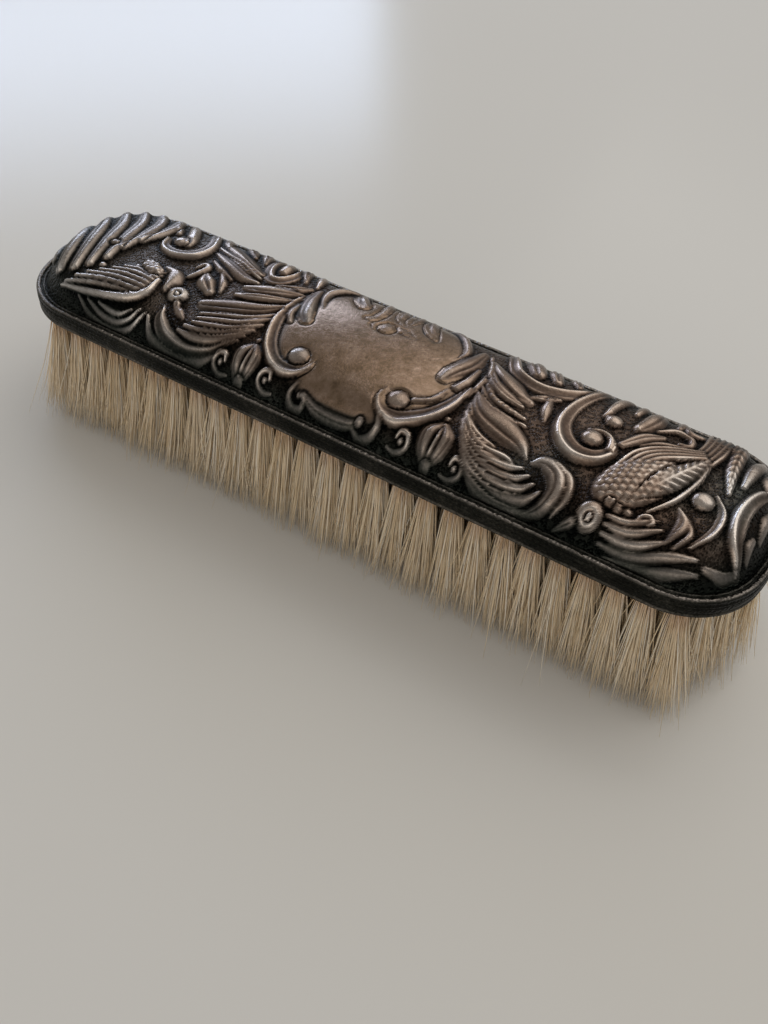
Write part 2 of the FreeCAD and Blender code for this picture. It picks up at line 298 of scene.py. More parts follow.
# %% Mesh helper
def make_piece(name, points, faces, material, values=None, smooth=True):
    """Points in mm, faces as a list of index arrays, values as name: one number per point."""
    mesh = bpy.data.meshes.new(name)
    mesh.vertices.add(len(points))
    mesh.vertices.foreach_set("co", (np.asarray(points) * MM).astype(np.float32).ravel())
    sizes = np.concatenate([np.full(len(block), block.shape[1]) for block in faces])
    mesh.loops.add(int(sizes.sum()))
    corners = np.concatenate([block.ravel() for block in faces])
    mesh.loops.foreach_set("vertex_index", corners.astype(np.int32))
    mesh.polygons.add(len(sizes))
    mesh.polygons.foreach_set("loop_start", np.r_[0, np.cumsum(sizes)[:-1]].astype(np.int32))
    for key, numbers in (values or {}).items():
        attribute = mesh.attributes.new(key, "FLOAT", "POINT")
        attribute.data.foreach_set("value", np.asarray(numbers, np.float32).ravel())
    mesh.update(calc_edges=True)
    mesh.polygons.foreach_set("use_smooth", np.full(len(sizes), smooth))
    mesh.materials.append(material)
    piece = bpy.data.objects.new(name, mesh)
    bpy.context.scene.collection.objects.link(piece)
    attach(piece, "root")
    print(name, "points", len(points), "triangles", int((sizes - 2).sum()))
    return piece


def grid_faces(rows, columns, wrap_rows=False, wrap_columns=False):
    """Quads over a grid numbered row by row, closed round either way on request."""
    r = np.arange(rows if wrap_rows else rows - 1)[:, None]
    c = np.arange(columns if wrap_columns else columns - 1)[None, :]
    r2, c2 = (r + 1) % rows, (c + 1) % columns
    corners = [r * columns + c, r * columns + c2, r2 * columns + c2, r2 * columns + c]
    return np.stack([np.broadcast_to(k, (len(r), c.shape[1])) for k in corners], -1).reshape(-1, 4)


# %% [markdown]
# ## Stamped relief
# A die maker thinks of ornament as strokes: a scroll, a leaf or a feather is a ridge that follows
# a curve, swells and tapers. Each stroke below is a few points along its middle, its half widths
# and its heights, all in millimetres, and one of a few cross-sections. Where strokes meet, the
# higher one wins, and a stroke sinks what lies just outside it, as a chaser's line does.

# %% Curves
def smooth_path(points, steps=44):
    """Catmull-Rom curve: on each span a cubic that keeps the slopes between its neighbours."""
    points = np.asarray(points, float).reshape(len(points), -1)
    padded = np.vstack([2 * points[0] - points[1], points, 2 * points[-1] - points[-2]])
    run = np.linspace(0, len(points) - 1, steps)
    span = np.minimum(run.astype(int), len(points) - 2)
    part = (run - span)[:, None]
    a, b, c, d = (padded[span + k] for k in range(4))
    square = (2 * a - 5 * b + 4 * c - d) * part ** 2
    cube = (3 * b - a - 3 * c + d) * part ** 3
    return 0.5 * (2 * b + (c - a) * part + square + cube)


def locate(path, x, y):
    """Nearest place on the path for each point: share of its length, and signed side distance."""
    start, step = path[:-1], path[1:] - path[:-1]
    offset = np.stack([x, y], -1)[:, None, :] - start
    part = np.clip((offset * step).sum(-1) / (step ** 2).sum(-1), 0, 1)
    gap = ((offset - part[..., None] * step) ** 2).sum(-1)
    nearest = gap.argmin(1)
    row = np.arange(len(nearest))
    step_x, step_y = step[nearest].T
    offset_x, offset_y = offset[row, nearest].T
    side = np.where(step_x * offset_y - step_y * offset_x < 0, -1, 1)
    return (nearest + part[row, nearest]) / len(step), side * np.sqrt(gap[row, nearest])


def swelling(values, share):
    """Smooth swelling through the listed values, spread evenly along the stroke."""
    values = np.atleast_1d(values)
    if len(values) == 1:
        return np.full_like(share, values[0])
    curve = np.clip(smooth_path(values)[:, 0], 0.05, None)
    return np.interp(share, np.linspace(0, 1, len(curve)), curve)


# %% [markdown]
# A cross-section gives a height from 0 to about 1 at the side place s, from -1 on the right to 1 on
# the left, and the share t of the way along. Scrolls and leaves are fuller on one side than the
# other, and feathers have fine barbs or overlap in steps.

# %% Cross-sections
def dome_of(s):
    """Half circle: sqrt(1 - s^2)."""
    return np.sqrt(np.clip(1 - s ** 2, 0, None))


def mound(s):
    """Rounded ridge whose sides meet the ground at a slope: (1 - s^2)^0.8."""
    return np.clip(1 - s ** 2, 0, None) ** 0.8


def roll(s, t):
    """Plain rounded ridge."""
    return mound(s)


def crease(s, t):
    """Ridge with a line pressed along the middle."""
    return mound(s) * (1 - 0.45 * np.exp(-((s / 0.17) ** 2)))


def band_left(s, t):
    """Scroll band: a round lip on the left, a hollow, and a thin edge on the right."""
    lip = 0.68 * np.exp(-(((s - 0.4) / 0.38) ** 2))
    edge = 0.3 * np.exp(-(((s + 0.74) / 0.16) ** 2))
    return mound(s) ** 0.6 * (0.34 + lip + edge)


def band_right(s, t):
    """The same band with its lip on the right."""
    return band_left(-s, t)


def lobe_left(s, t):
    """Leaf lobe: full on the left, with a vein line and two fine lines on the right."""
    lines = 0.10 * np.cos(13 * s) * np.clip(0.3 - s, 0, 1)
    return mound(s) * (0.76 + 0.34 * s - 0.2 * np.exp(-(((s + 0.2) / 0.13) ** 2)) + lines)


def lobe_right(s, t):
    """The same lobe, full on the right."""
    return lobe_left(-s, t)


def barbs(s, t):
    """Feather: a shaft line and slanting barbs."""
    slant = 0.13 * np.cos(64 * t - 6 * np.abs(s))
    return mound(s) * (0.9 - 0.3 * np.exp(-((s / 0.14) ** 2)) + slant)


def herringbone(s, t):
    """Short feathers in pairs along a vein."""
    pairs = 0.26 * np.cos(66 * t - 8 * np.abs(s)) * np.clip(2.2 * np.abs(s), 0, 1)
    return mound(s) ** 0.8 * (0.82 + 0.2 * np.exp(-((s / 0.12) ** 2)) + pairs)


def scallops(s, t):
    """Overlapped feathers, long at the tip and short at the root: six rounded steps in all."""
    step = (6 * t ** 1.5 + 0.3 * s ** 2) % 1
    return mound(s) * (0.7 + 0.3 * dome_of(step))


# %% [markdown]
# The relief keeps a height for every point of a grid. Strokes, beads and fans are laid on it one
# after another. Broad swells are kept apart, since they lift whatever is drawn over them.

# %% Relief
GROOVE_REACH, GROOVE_WIDTH = 1.3, 0.34


class Relief:
    """Heights above the plain dome, at points given by their plan places in mm."""

    def __init__(self, x, y):
        self.x, self.y = x.ravel(), y.ravel()
        self.height = np.zeros(self.x.size)
        self.body = np.zeros(self.x.size)

    def lay(self, near, value, outside, base, groove=0.7):
        """Raise to base + value inside, and press a narrow line just outside."""
        line = 1 - groove * np.exp(-((np.clip(outside, 0, None) / GROOVE_WIDTH) ** 2))
        below = self.height[near] * np.where(outside > 0, line, 1)
        self.height[near] = np.where(outside < 0, np.maximum(below, base + value), below)

    def stroke(self, points, widths, heights, section=roll, base=0.12):
        """Ridge along a curve: base + height(share) * section(side / half width, share)."""
        path = smooth_path(points)
        reach = np.max(widths) + GROOVE_REACH
        low, high = path.min(0) - reach, path.max(0) + reach
        inside = (self.x > low[0]) & (self.x < high[0]) & (self.y > low[1]) & (self.y < high[1])
        near = np.flatnonzero(inside)
        if near.size:
            share, side = locate(path, self.x[near], self.y[near])
            half = swelling(widths, share)
            value = swelling(heights, share) * section(side / half, share)
            groove = 0.7 * np.clip(half / 0.9 - 0.25, 0, 1)
            self.lay(near, value, np.abs(side) - half, base, groove)

    def swell(self, points, widths, heights):
        """Broad low form under a group of strokes: the group's leaf, wing or breast."""
        share, side = locate(smooth_path(points), self.x, self.y)
        s = np.minimum(np.abs(side) / swelling(widths, share), 1)
        self.body = np.maximum(self.body, swelling(heights, share) * (1 - s ** 2) ** 1.5)

    def bead(self, x, y, radius, height, base=0.12):
        """Half ball, flattened to the height."""
        away = np.hypot(self.x - x, self.y - y)
        near = np.flatnonzero(away < radius + GROOVE_REACH)
        value = height * dome_of(np.minimum(away[near] / radius, 1))
        self.lay(near, value, away[near] - radius, base)

    def fan(self, first, last, count, widths, heights, section=roll, base=0.12):
        """Strokes that pass evenly from the first set of points to the last."""
        first, last = np.asarray(first, float), np.asarray(last, float)
        for share in np.linspace(0, 1, count):
            self.stroke(first + (last - first) * share, widths, heights, section, base)

    def ring(self, x, y, radius, width, height, base):
        """Ridge round a circle."""
        turn = np.linspace(0, 2 * math.pi, 13)
        path = np.stack([x + radius * np.cos(turn), y + radius * np.sin(turn)], 1)
        self.stroke(path, (width,), (height,), roll, base)

    def curl(self, x, y, size, hand):
        """Small spiral with a bead in its eye. Hand is 1 or -1, the side its tail leaves on."""
        tail = [(2.3, -1.5), (0.3, -1.75), (-1.4, -0.6), (-1.0, 1.1), (0.55, 1.35), (1.0, 0.3)]
        points = [(x + hand * size * a, y + size * b) for a, b in tail]
        self.stroke(points, np.array((0.3, 0.55, 0.62, 0.6, 0.4)) * size, (0.6, 1.2, 1.3, 1.2))
        self.bead(x, y - 0.1, 0.6 * size, 1.1)

    def scales(self, x, y, half_size, angle, height, pitch, base):
        """Oval body with overlapped round scales, in rows along its length."""
        row_pitch, scale_height = 0.8, 0.6
        turn = math.radians(angle)
        along = (self.x - x) * math.cos(turn) + (self.y - y) * math.sin(turn)
        across = (self.y - y) * math.cos(turn) - (self.x - x) * math.sin(turn)
        ring = np.hypot(along / half_size[0], across / half_size[1])
        near = np.flatnonzero(ring < 1.4)
        along, across, ring = along[near] / pitch, across[near] / pitch, ring[near]
        best = np.zeros_like(ring)
        for row in (-1, 0, 1):
            number = np.round(along / row_pitch) + row
            p = along - number * row_pitch
            q = across + 0.5 * (number % 2)
            q = q - np.round(q)
            scale = dome_of(np.minimum(np.hypot(p, q) / 0.5, 1)) * (1 - 0.3 * p)
            best = np.maximum(best, scale)
        pebbles = scale_height * best * np.clip((1 - ring) * 6, 0, 1)
        value = height * dome_of(np.minimum(ring, 1)) + pebbles
        self.lay(near, value, (ring - 1) * min(half_size), base)


# %% [markdown]
# ### The plain cartouche and its scrolls
# The middle of the back is a plain domed plate, where an owner's initials could be cut. Two
# C-scrolls with round eyes hold it at the sides, leaves lap over it from above, and a flat scroll
# closes it below.

# %% Cartouche
def plate_pillow(x, y):
    """How far out from the plate's middle, 1 at its edge, and the height of its swelling, mm."""
    away = np.abs((x + 0.8) / 20.6) ** 2.5 + np.abs((y + 0.4) / 17.4) ** 2.5
    inside = np.clip(1 - away, 0, 1)
    return away, 0.3 * inside ** 0.35 + 1.25 * inside ** 0.8


def draw_cartouche(relief):
    """The plate, its frame of scrolls, and the leaves and berries that lap over it."""
    away, pillow = plate_pillow(relief.x, relief.y)
    relief.height = np.maximum(relief.height, pillow)
    for shape in (
        # left frame: upper scroll, C-scroll and its leaves
        ([(-13.3, 17.2), (-17.2, 14.8), (-19.4, 11), (-18.9, 7.3), (-17.2, 4.6)],
         (.6, 1.1, 1.1, .4), (.9, 1.3, .8), roll),
        ([(-21.8, 9.4), (-23.2, 3), (-22.8, -4), (-20.2, -10.4), (-16.4, -13.9), (-12.2, -14.3),
          (-9.6, -12.4), (-9.3, -9.6)],
         (.4, .9, 1.4, 1.7, 1.6, 1.4, 1.0, .3), (.8, 1.5, 1.8, 1.7, 1.2), band_right),
        ([(-21.6, 10), (-20.8, 5), (-19.2, 1), (-17.7, -1.0)],
         (.8, 1.8, 2.0, 1.5), (.9, 1.8, 1.5), lobe_left),
        ([(-22.0, 3.0), (-21.8, -.5), (-20.4, -3.0)], (.4, .8, .7), (.6, 1.0, .9), roll),
        # leaves over the top edge
        ([(-14.2, 16.3), (-12.9, 13), (-10.9, 10.8)], (.8, 1.8, 1.6), (.9, 1.7, 1.5), lobe_left),
        ([(-8.8, 20), (-6.9, 15), (-6.1, 11), (-6.4, 7.6), (-7.5, 6.8)],
         (.6, 1.1, 1.0, .6), (.9, 1.4, .9), roll),
        ([(-4.8, 19.5), (-3.1, 14.5), (-2.2, 11), (-.4, 9.4)],
         (.6, 1.2, .9, .4), (.9, 1.4, .8), lobe_left),
        ([(-.6, 20), (1.0, 15), (1.0, 11)], (.6, 1.0, .5), (.8, 1.1, .7), roll),
        ([(2.2, 19.6), (3.6, 14.5), (5.3, 11.2), (7.6, 8.8)],
         (.7, 1.5, 1.6, .6), (.9, 1.6, 1.0), lobe_left),
        # right frame: upper scroll, leaves and C-scroll
        ([(1.2, 20.3), (6.5, 18.3), (11, 15), (14.2, 11), (15, 7.5), (14.1, 4.8)],
         (.6, 1.0, 1.0, .4), (.9, 1.3, .8), roll),
        ([(17.9, 11.2), (17.3, 6), (15.6, 1.4), (15.0, -.8)],
         (1.3, 2.4, 2.1, 1.5), (1.1, 1.9, 1.6), lobe_right),
        ([(19.6, 5.5), (19.3, 1), (18.4, -1.8)], (.6, 1.1, 1.1), (.8, 1.3, 1.1), roll),
        ([(19.4, 11.8), (21.7, 6), (21.6, -.5), (20.6, -4)], (.5, .8, .5), (.7, 1.1, .8), roll),
        ([(20.6, -.6), (19.6, -6.6), (16.8, -11.6), (12.6, -14.3), (8.9, -13.8), (7.0, -11.6),
          (7.3, -9.0)],
         (.6, 1.5, 1.9, 1.8, 1.4, .9, .3), (1.1, 1.7, 1.8, 1.6, 1.1), band_left),
        ([(17.4, -3.0), (16.0, -7.2), (12.8, -9.6)], (.4, .7, .7), (.7, 1.2, 1.2), roll),
        # flat scroll below
        ([(-9.4, -15.2), (-10.3, -17.6), (-8.8, -19.2), (-6.9, -18.8), (-6.9, -17.2),
          (-8.1, -17.2)],
         (.4, .8, .7, .6), (.7, 1.2, 1.1), roll),
        ([(-7.2, -16.9), (-4, -18.1), (0, -18.4), (4, -18.1), (6.2, -16.9)],
         (.6, .9, 1.0, .9, .6), (.9, 1.1, .9), crease),
        ([(5.2, -18.5), (7.0, -19.3), (9, -18.4), (9.6, -16.4), (8.6, -14.7)],
         (.5, .8, .9, .4), (.8, 1.3, .9), roll),
    ):
        relief.stroke(*shape)
    for x in (-12.8, 10.5):
        relief.bead(x, -10.6, 2.2, 1.25, 0.6)
    relief.bead(5.9, -17.1, 0.9, 1.1)
    relief.bead(-2.4, 5.9, 1.9, 1.2, 0.5)
    relief.stroke([(-4.2, 7.4), (-5.2, 5.7), (-4.2, 4.3)], (.4, .7, .4), (.6, .9, .6))
    relief.stroke([(-.7, 7.2), (1.4, 6.8), (3.8, 6.2)], (.5, .8, .3), (.7, 1.0, .5))


# %% [markdown]
# ### Buds and curls
# Along the front edge a folded bud stands each side of the cartouche, between two small curls.

# %% Buds
def draw_bud(relief, x, y, size):
    """Two petals folded over a seam, with a bead above and below."""
    for hand, section in ((-1, lobe_left), (1, lobe_right)):
        petal = [(0.4, 3.4), (1.95, 1.0), (1.75, -1.4), (0.9, -3.2)]
        points = [(x + hand * size * a, y + size * b) for a, b in petal]
        relief.stroke(points, np.array((0.7, 1.45, 1.4, 0.8)) * size, (0.9, 1.7, 1.5, 1.0), section)
    relief.stroke([(x, y + 2.4), (x + 0.2, y), (x, y - 2.8)], (0.35, 0.5, 0.5), (0.8, 1.5, 1.2))
    relief.bead(x + 0.2, y - 4.0 * size, 1.2, 1.2)
    relief.bead(x - 0.3, y + 5.0 * size, 0.6, 0.7)


def draw_buds(relief):
    """A bud and two curls on each side of the cartouche."""
    draw_bud(relief, -22.2, -15.5, 0.92)
    draw_bud(relief, 21.3, -14.9, 1.02)
    for x, y, hand in ((-27.4, -17.4, 1), (-16.4, -17.2, 1), (15.2, -17.1, -1), (27.0, -17.5, -1)):
        relief.curl(x, y, 1.0, hand)


# %% [markdown]
# ### Leaf sprays
# Acanthus leaves sweep outwards from both sides of the cartouche. Their lobes are fuller on one
# side of the vein, and the small ones at the bottom lie close together like the sticks of a fan.

# %% Right spray
# Half widths and heights of a thin rib, from its root to its tip
THIN = ((.4, .95, 1.05, .95, .4), (.6, 1.15, 1.3, 1.2, .9))


def draw_right_spray(relief):
    """Acanthus to the right of the plate, from the back edge to the front."""
    relief.swell([(22.6, -3.0), (26.0, -10.5), (32.0, -14.6), (40.0, -16.6)],
                 (1.0, 4.4, 4.8, 2.0), (.3, .7, .7, .3))
    relief.swell([(20.8, 9.0), (26.0, 2.0), (33.0, -4.0)], (1.5, 5.5, 4.0), (.3, .7, .5))
    relief.swell([(40.5, -10.5), (45.2, -13.0), (43.0, -18.0)], (1.5, 4.0, 2.0), (.4, .6, .3))
    for points in (
        [(22.8, -4.2), (25.0, -8.8), (28.4, -11.2), (31.8, -11.7)],
        [(23.0, -6.6), (25.8, -11.2), (30.2, -13.0), (34.4, -12.8), (37.0, -13.6)],
        [(23.4, -8.8), (26.6, -13.0), (31.2, -14.5), (35.6, -14.3), (38.4, -13.2)],
        [(24.2, -10.8), (27.8, -14.7), (32.6, -16.0), (37.4, -15.7), (40.2, -14.0)],
        [(25.2, -12.8), (29.2, -16.2), (34.2, -17.3), (39.2, -16.7), (41.6, -15.0)],
        [(26.6, -14.9), (31.0, -17.7), (36.0, -18.6), (40.8, -17.8), (43.4, -15.8)],
        [(28.8, -17.2), (33.0, -19.2), (38.6, -19.9), (42.8, -18.8)],
    ):
        relief.stroke(points, *THIN)
    for shape in (
        # back edge: scroll and three leaves
        ([(21, 20), (23.3, 14.5), (26, 10.0), (31, 7.9), (36, 9.0), (40.6, 12.6), (43.8, 18)],
         (1.0, 1.5, 1.9, 1.8, .8), (1.1, 1.7, 1.5, 1.0), band_left),
        ([(25.6, 21.5), (27.2, 16.5), (29.4, 12.6)], (1.5, 2.3, 1.9), (1.3, 1.9, 1.6), lobe_left),
        ([(31.5, 20), (32.2, 15.5), (33.8, 12.5)], (1.0, 1.7, 1.2), (1.0, 1.5, 1.1), crease),
        ([(36, 20), (36.6, 16), (38, 13.8)], (1.0, 1.4, .9), (.9, 1.3, .9), crease),
        # main leaves, from the back to the front
        ([(20.8, 9.8), (24, 6.0), (28, 3.4), (32.0, 2.4)],
         (.8, 2.7, 3.2, 1.2), (1.0, 1.8, 1.6, 1.1), lobe_left),
        ([(21.6, 6.6), (24.4, 2.9), (28, 1.0), (31.4, .4)],
         (.5, 1.3, 1.4, .6), (.9, 1.3, 1.2, .9), crease),
        ([(22.2, 3.4), (25.5, -.6), (29.5, -2.0), (33.4, -2.4)],
         (.5, .9, .9, .4), (.8, 1.2, .9), barbs),
        ([(22.4, 1.2), (25.6, -2.6), (30.4, -4.2), (34.4, -4.2)],
         (.4, .9, .9, .4), (.8, 1.2, .9), roll),
        ([(22.4, -.8), (25.8, -5.0), (30.8, -7.0), (35.2, -8.6), (38.0, -10.9)],
         (.6, 2.4, 3.1, 2.2, .3), (1.0, 1.9, 1.8, .9), lobe_left),
        # curled tip, with a line behind it
        ([(39.4, -11.4), (41.6, -10.3), (44.6, -11.6), (45.9, -14.6), (44.8, -17.6), (42.2, -19.3)],
         (.4, 2.0, 2.6, 2.0, 1.4, .4), (1.0, 1.9, 1.9, 1.1), lobe_left),
        ([(43.4, -9.0), (47.0, -11.2), (48.2, -14.8), (47.0, -18.0)],
         (.4, .8, .8, .4), (.9, 1.4, 1.2, .8), roll),
        # small leaves in the open ground
        ([(31.2, 4.0), (34, 5.3), (36.6, 6.8)], (.4, 1.2, .5), (.6, 1.2, .9), crease),
        ([(35.2, 5.4), (35.7, 2.4), (36.6, -.6)], (.8, 1.2, .4), (.9, 1.2, .6), roll),
    ):
        relief.stroke(*shape)


# %% [markdown]
# The left spray has the same parts. Its back leaves run on towards the bird.

# %% Left spray
def draw_left_spray(relief):
    """Acanthus to the left of the plate, and the leaves that run on to the bird."""
    relief.swell([(-23.6, -4.0), (-29.0, -9.0), (-38.0, -12.5)], (1.5, 5.0, 4.5), (.3, .7, .5))
    relief.swell([(-23.6, 5.5), (-30.0, 1.0), (-36.0, -2.5)], (1.5, 4.6, 3.0), (.3, .7, .4))
    relief.swell([(-35.0, 6.0), (-42.0, 8.0), (-49.0, 12.0)], (1.5, 4.4, 3.0), (.3, .6, .3))
    for points in (
        [(-24.0, -2.6), (-27.6, -6.9), (-32.6, -9.0), (-37.6, -10.8)],
        [(-24.2, -4.8), (-27.8, -8.9), (-32.8, -11.0), (-37.4, -12.2)],
        [(-24.4, -7.0), (-28.0, -10.9), (-33.0, -12.8), (-37.6, -13.4)],
        [(-24.9, -9.2), (-28.6, -12.8), (-33.6, -14.5), (-38.8, -14.6)],
        [(-25.8, -11.4), (-29.6, -14.6), (-34.6, -16.0), (-39.8, -15.8)],
    ):
        relief.stroke(points, *THIN)
    for shape in (
        # back edge: scroll and small leaves
        ([(-23.6, 9.4), (-26, 7.0), (-29.8, 5.6)], (.8, 1.6, .8), (.8, 1.4, 1.0), crease),
        ([(-36.2, 18.5), (-35.6, 11.5), (-33.2, 7.4), (-30.6, 8.0), (-29.2, 12), (-30.2, 16)],
         (.8, 1.3, 1.6, 1.3, .7), (1.1, 1.6, 1.5, 1.1), band_left),
        ([(-30.6, 20.5), (-29, 16.4), (-26.4, 11.4)], (.9, 1.5, .6), (.9, 1.4, .9), crease),
        ([(-33.2, 16.4), (-32.6, 13.4), (-32.4, 11.6)], (1.0, 1.6, 1.4), (1.0, 1.6, 1.4), roll),
        ([(-27, 20), (-24.4, 15), (-23, 10.8)], (.8, 1.2, .5), (.8, 1.3, .8), roll),
        # main leaves, from the back to the front
        ([(-23.6, 6.0), (-27.6, 3.9), (-31.2, 1.9), (-34.6, .9)],
         (.6, 2.0, 2.4, 1.1), (.9, 1.7, 1.4), lobe_right),
        ([(-23.4, 3.4), (-27.4, .8), (-31.6, -1.2), (-35.0, -2.2)],
         (.5, 1.1, 1.2, .5), (.8, 1.3, 1.0), crease),
        ([(-23.8, .6), (-28, -3.5), (-33.6, -6.2), (-38.6, -8.2)],
         (.6, 1.9, 2.5, 1.9), (1.0, 1.9, 1.7), lobe_right),
        ([(-26.2, -13.0), (-30.4, -16.6), (-36, -18.0), (-41.2, -17.5), (-44.6, -15.4),
          (-45.6, -12.8)],
         (.4, .8, 1.1, 1.6, 1.5, .4), (.8, 1.4, 1.8, 1.2), band_right),
        ([(-28.4, -16.8), (-33, -19.2), (-39, -19.8), (-45, -18.6), (-47.8, -15.6)],
         (.4, .9, .9, .9, .4), (.7, 1.2, 1.2, .9), roll),
        ([(-44.0, -11.0), (-42.0, -12.4), (-40.0, -13.6)], (.5, 1.1, .4), (.7, 1.1, .6), roll),
        # leaves that run on to the bird
        ([(-49.8, 13.6), (-44.5, 11.2), (-39.4, 8.5), (-35.4, 7.3)],
         (.8, 2.0, 2.2, 1.0), (1.0, 1.7, 1.3), lobe_right),
        ([(-49.4, 10.8), (-44.4, 8.6), (-39.2, 6.6), (-34.6, 5.8)],
         (.4, .8, .9, .4), (.8, 1.2, 1.0), roll),
        ([(-48.0, 8.4), (-43, 6.0), (-38.2, 4.2), (-34.0, 4.2)],
         (.6, 1.6, 1.8, .6), (.9, 1.5, 1.1), lobe_right),
        ([(-46.8, 5.4), (-43.2, 3.2), (-39.4, 1.8)], (.5, 1.0, .5), (.7, 1.2, .7), roll),
        ([(-46.0, 18.8), (-43.6, 15.4), (-41, 12.8)], (.9, 1.5, .6), (.9, 1.4, .8), crease),
        ([(-41.8, 19.4), (-39.6, 15.6), (-37.8, 12.2)], (.9, 1.5, .6), (.9, 1.4, .8), crease),
        # hanging flower
        ([(-44.8, .2), (-42.9, -2.2), (-40.6, -4.2)], (1.0, 2.4, 1.5), (1.0, 1.9, 1.4), crease),
        ([(-42.0, 2.0), (-39.8, -.4), (-38.6, -3.0)], (.5, 1.1, .5), (.8, 1.2, .8), roll),
        ([(-48.2, 1.2), (-47.2, 3.0), (-45.9, 2.2), (-46.4, -.4), (-47.6, -3.0)],
         (.5, .9, 1.0, .9, .4), (.8, 1.3, 1.0), roll),
    ):
        relief.stroke(*shape)


# %% [markdown]
# ### Large C-scrolls
# A rocaille C-scroll is a crescent with a high outer lip and a hollow inside it. It ends in a round
# eye, with leaves growing from its back.

# %% Scrolls
def draw_scrolls(relief):
    """C-scrolls with round eyes at both ends, and the small leaves between them."""
    for shape in (
        # right scroll and the leaves on its back
        ([(45, 18.5), (41.6, 12.5), (39.8, 6.5), (39.8, 1), (41.8, -3.0), (45, -5.0),
          (48.4, -4.4), (50.4, -1.8), (50.2, 1.0)],
         (.8, 1.2, 1.5, 1.9, 2.3, 2.4, 2.1, 1.5, .9), (1.1, 1.6, 2.0, 1.9, 1.5), band_right),
        ([(50.4, 19.5), (47.6, 16), (46.2, 11.5), (46.0, 8)],
         (.7, 1.3, 1.1, .9), (1.0, 1.4, 1.2), roll),
        ([(55, 17.5), (54.4, 12.5), (53.0, 8.4)], (1.0, 2.2, 1.7), (1.0, 1.8, 1.5), lobe_right),
        ([(57.4, 8.4), (54.4, 5.8), (51.6, 1.8)], (.7, 1.6, 1.0), (.8, 1.4, 1.0), crease),
        ([(51.6, 19.5), (51.2, 16), (50.6, 12.5)], (.8, 1.3, .7), (.9, 1.2, .8), roll),
        ([(58.0, 19.0), (59.4, 15.5), (59.0, 13.4)], (.8, 1.3, .8), (.9, 1.2, .9), roll),
        # left scroll and the leaves on its back
        ([(-58.5, 19.8), (-53.4, 14.4), (-51.0, 9.2), (-52.0, 4.6), (-55.8, 2.6), (-59.2, 3.6),
          (-60.6, 6.4)],
         (.7, 1.2, 1.7, 1.9, 1.8, 1.4, .8), (1.1, 1.6, 1.8, 1.5), band_left),
        ([(-62.6, 18.6), (-58.4, 12.8), (-56.4, 9.2), (-56.0, 7.4)],
         (.8, 1.5, 1.6, 1.3), (1.0, 1.5, 1.4), roll),
        ([(-63.0, 13.4), (-61.6, 11.4), (-60.8, 10.2)], (.6, 1.1, .9), (.8, 1.2, 1.0), roll),
        ([(-54.4, 20), (-50.6, 15.8), (-48.2, 12.2)], (.7, 1.3, .6), (.8, 1.2, .8), roll),
        # scroll and leaves at the right end
        ([(80.4, 8.0), (77.4, 3.8), (76.0, -2.5), (76.8, -8.5), (79.4, -12.4)],
         (.6, 1.3, 1.7, 1.6, .8), (1.0, 1.7, 1.6), band_right),
        ([(76.0, 15.5), (74.6, 9.5), (74.2, 4)], (.9, 1.4, .7), (1.0, 1.3, .9), roll),
        ([(78.6, 12.8), (77.4, 8.8), (78.0, 5.8)], (.8, 1.1, .6), (.9, 1.2, .8), roll),
        ([(80.8, 3.6), (80.0, -.4), (80.4, -4.4)], (.6, 1.1, .6), (.8, 1.2, .8), roll),
        ([(79.4, -5.6), (79.2, -7.6), (79.8, -9.4)], (.6, 1.0, .7), (.7, 1.0, .8), roll),
        ([(74.4, -15.4), (77.6, -14.4), (79.6, -12.0)], (.6, .9, .6), (.7, 1.0, .7), roll),
    ):
        relief.stroke(*shape)
    for bead in ((46.2, 0.2, 2.2, 1.7), (47.8, 7.2, 1.8, 1.6),
                 (-57.6, 7.2, 1.8, 1.6), (69.2, -3.7, 2.2, 1.8)):
        relief.bead(*bead)
    relief.stroke([(50.2, -1.0), (49.4, 1.6), (47.2, 2.8), (44.6, 2.2)],
                  (.9, .8, .6, .3), (1.4, 1.5, 1.2, .8))
    for points in (
        [(55.8, 9.6), (58.8, 11.8), (62.0, 11.0), (62.4, 8.8), (60.4, 8.4)],
        [(59.6, 14.6), (61.6, 12.8), (64.2, 13.2)],
    ):
        relief.stroke(points, (.4, .85, .8, .4), (.8, 1.3, 1.2, .9))


# %% [markdown]
# ### Birds
# A small bird stands in the leaves at each end. Its body is an oval covered with round scales, the
# wing and tail are fans of feathers, and the head is a bead with a ringed eye and a short beak.

# %% Right bird
def draw_head(relief, x, y, radius, beak, eye):
    """A bead with a beak to the named point and a ringed eye of the named height."""
    path = [(x + (beak[0] - x) * share, y + (beak[1] - y) * share) for share in (0.5, 0.75, 1.0)]
    relief.bead(x, y, radius, 1.9)
    relief.stroke(path, (1.0, 0.7, 0.25), (1.3, 1.0, 0.6), crease, 0.2)
    relief.ring(x + 0.1, y - 0.2, 1.15, 0.36, eye, 1.68)
    relief.bead(x + 0.1, y - 0.2, 0.5, eye, 1.85)


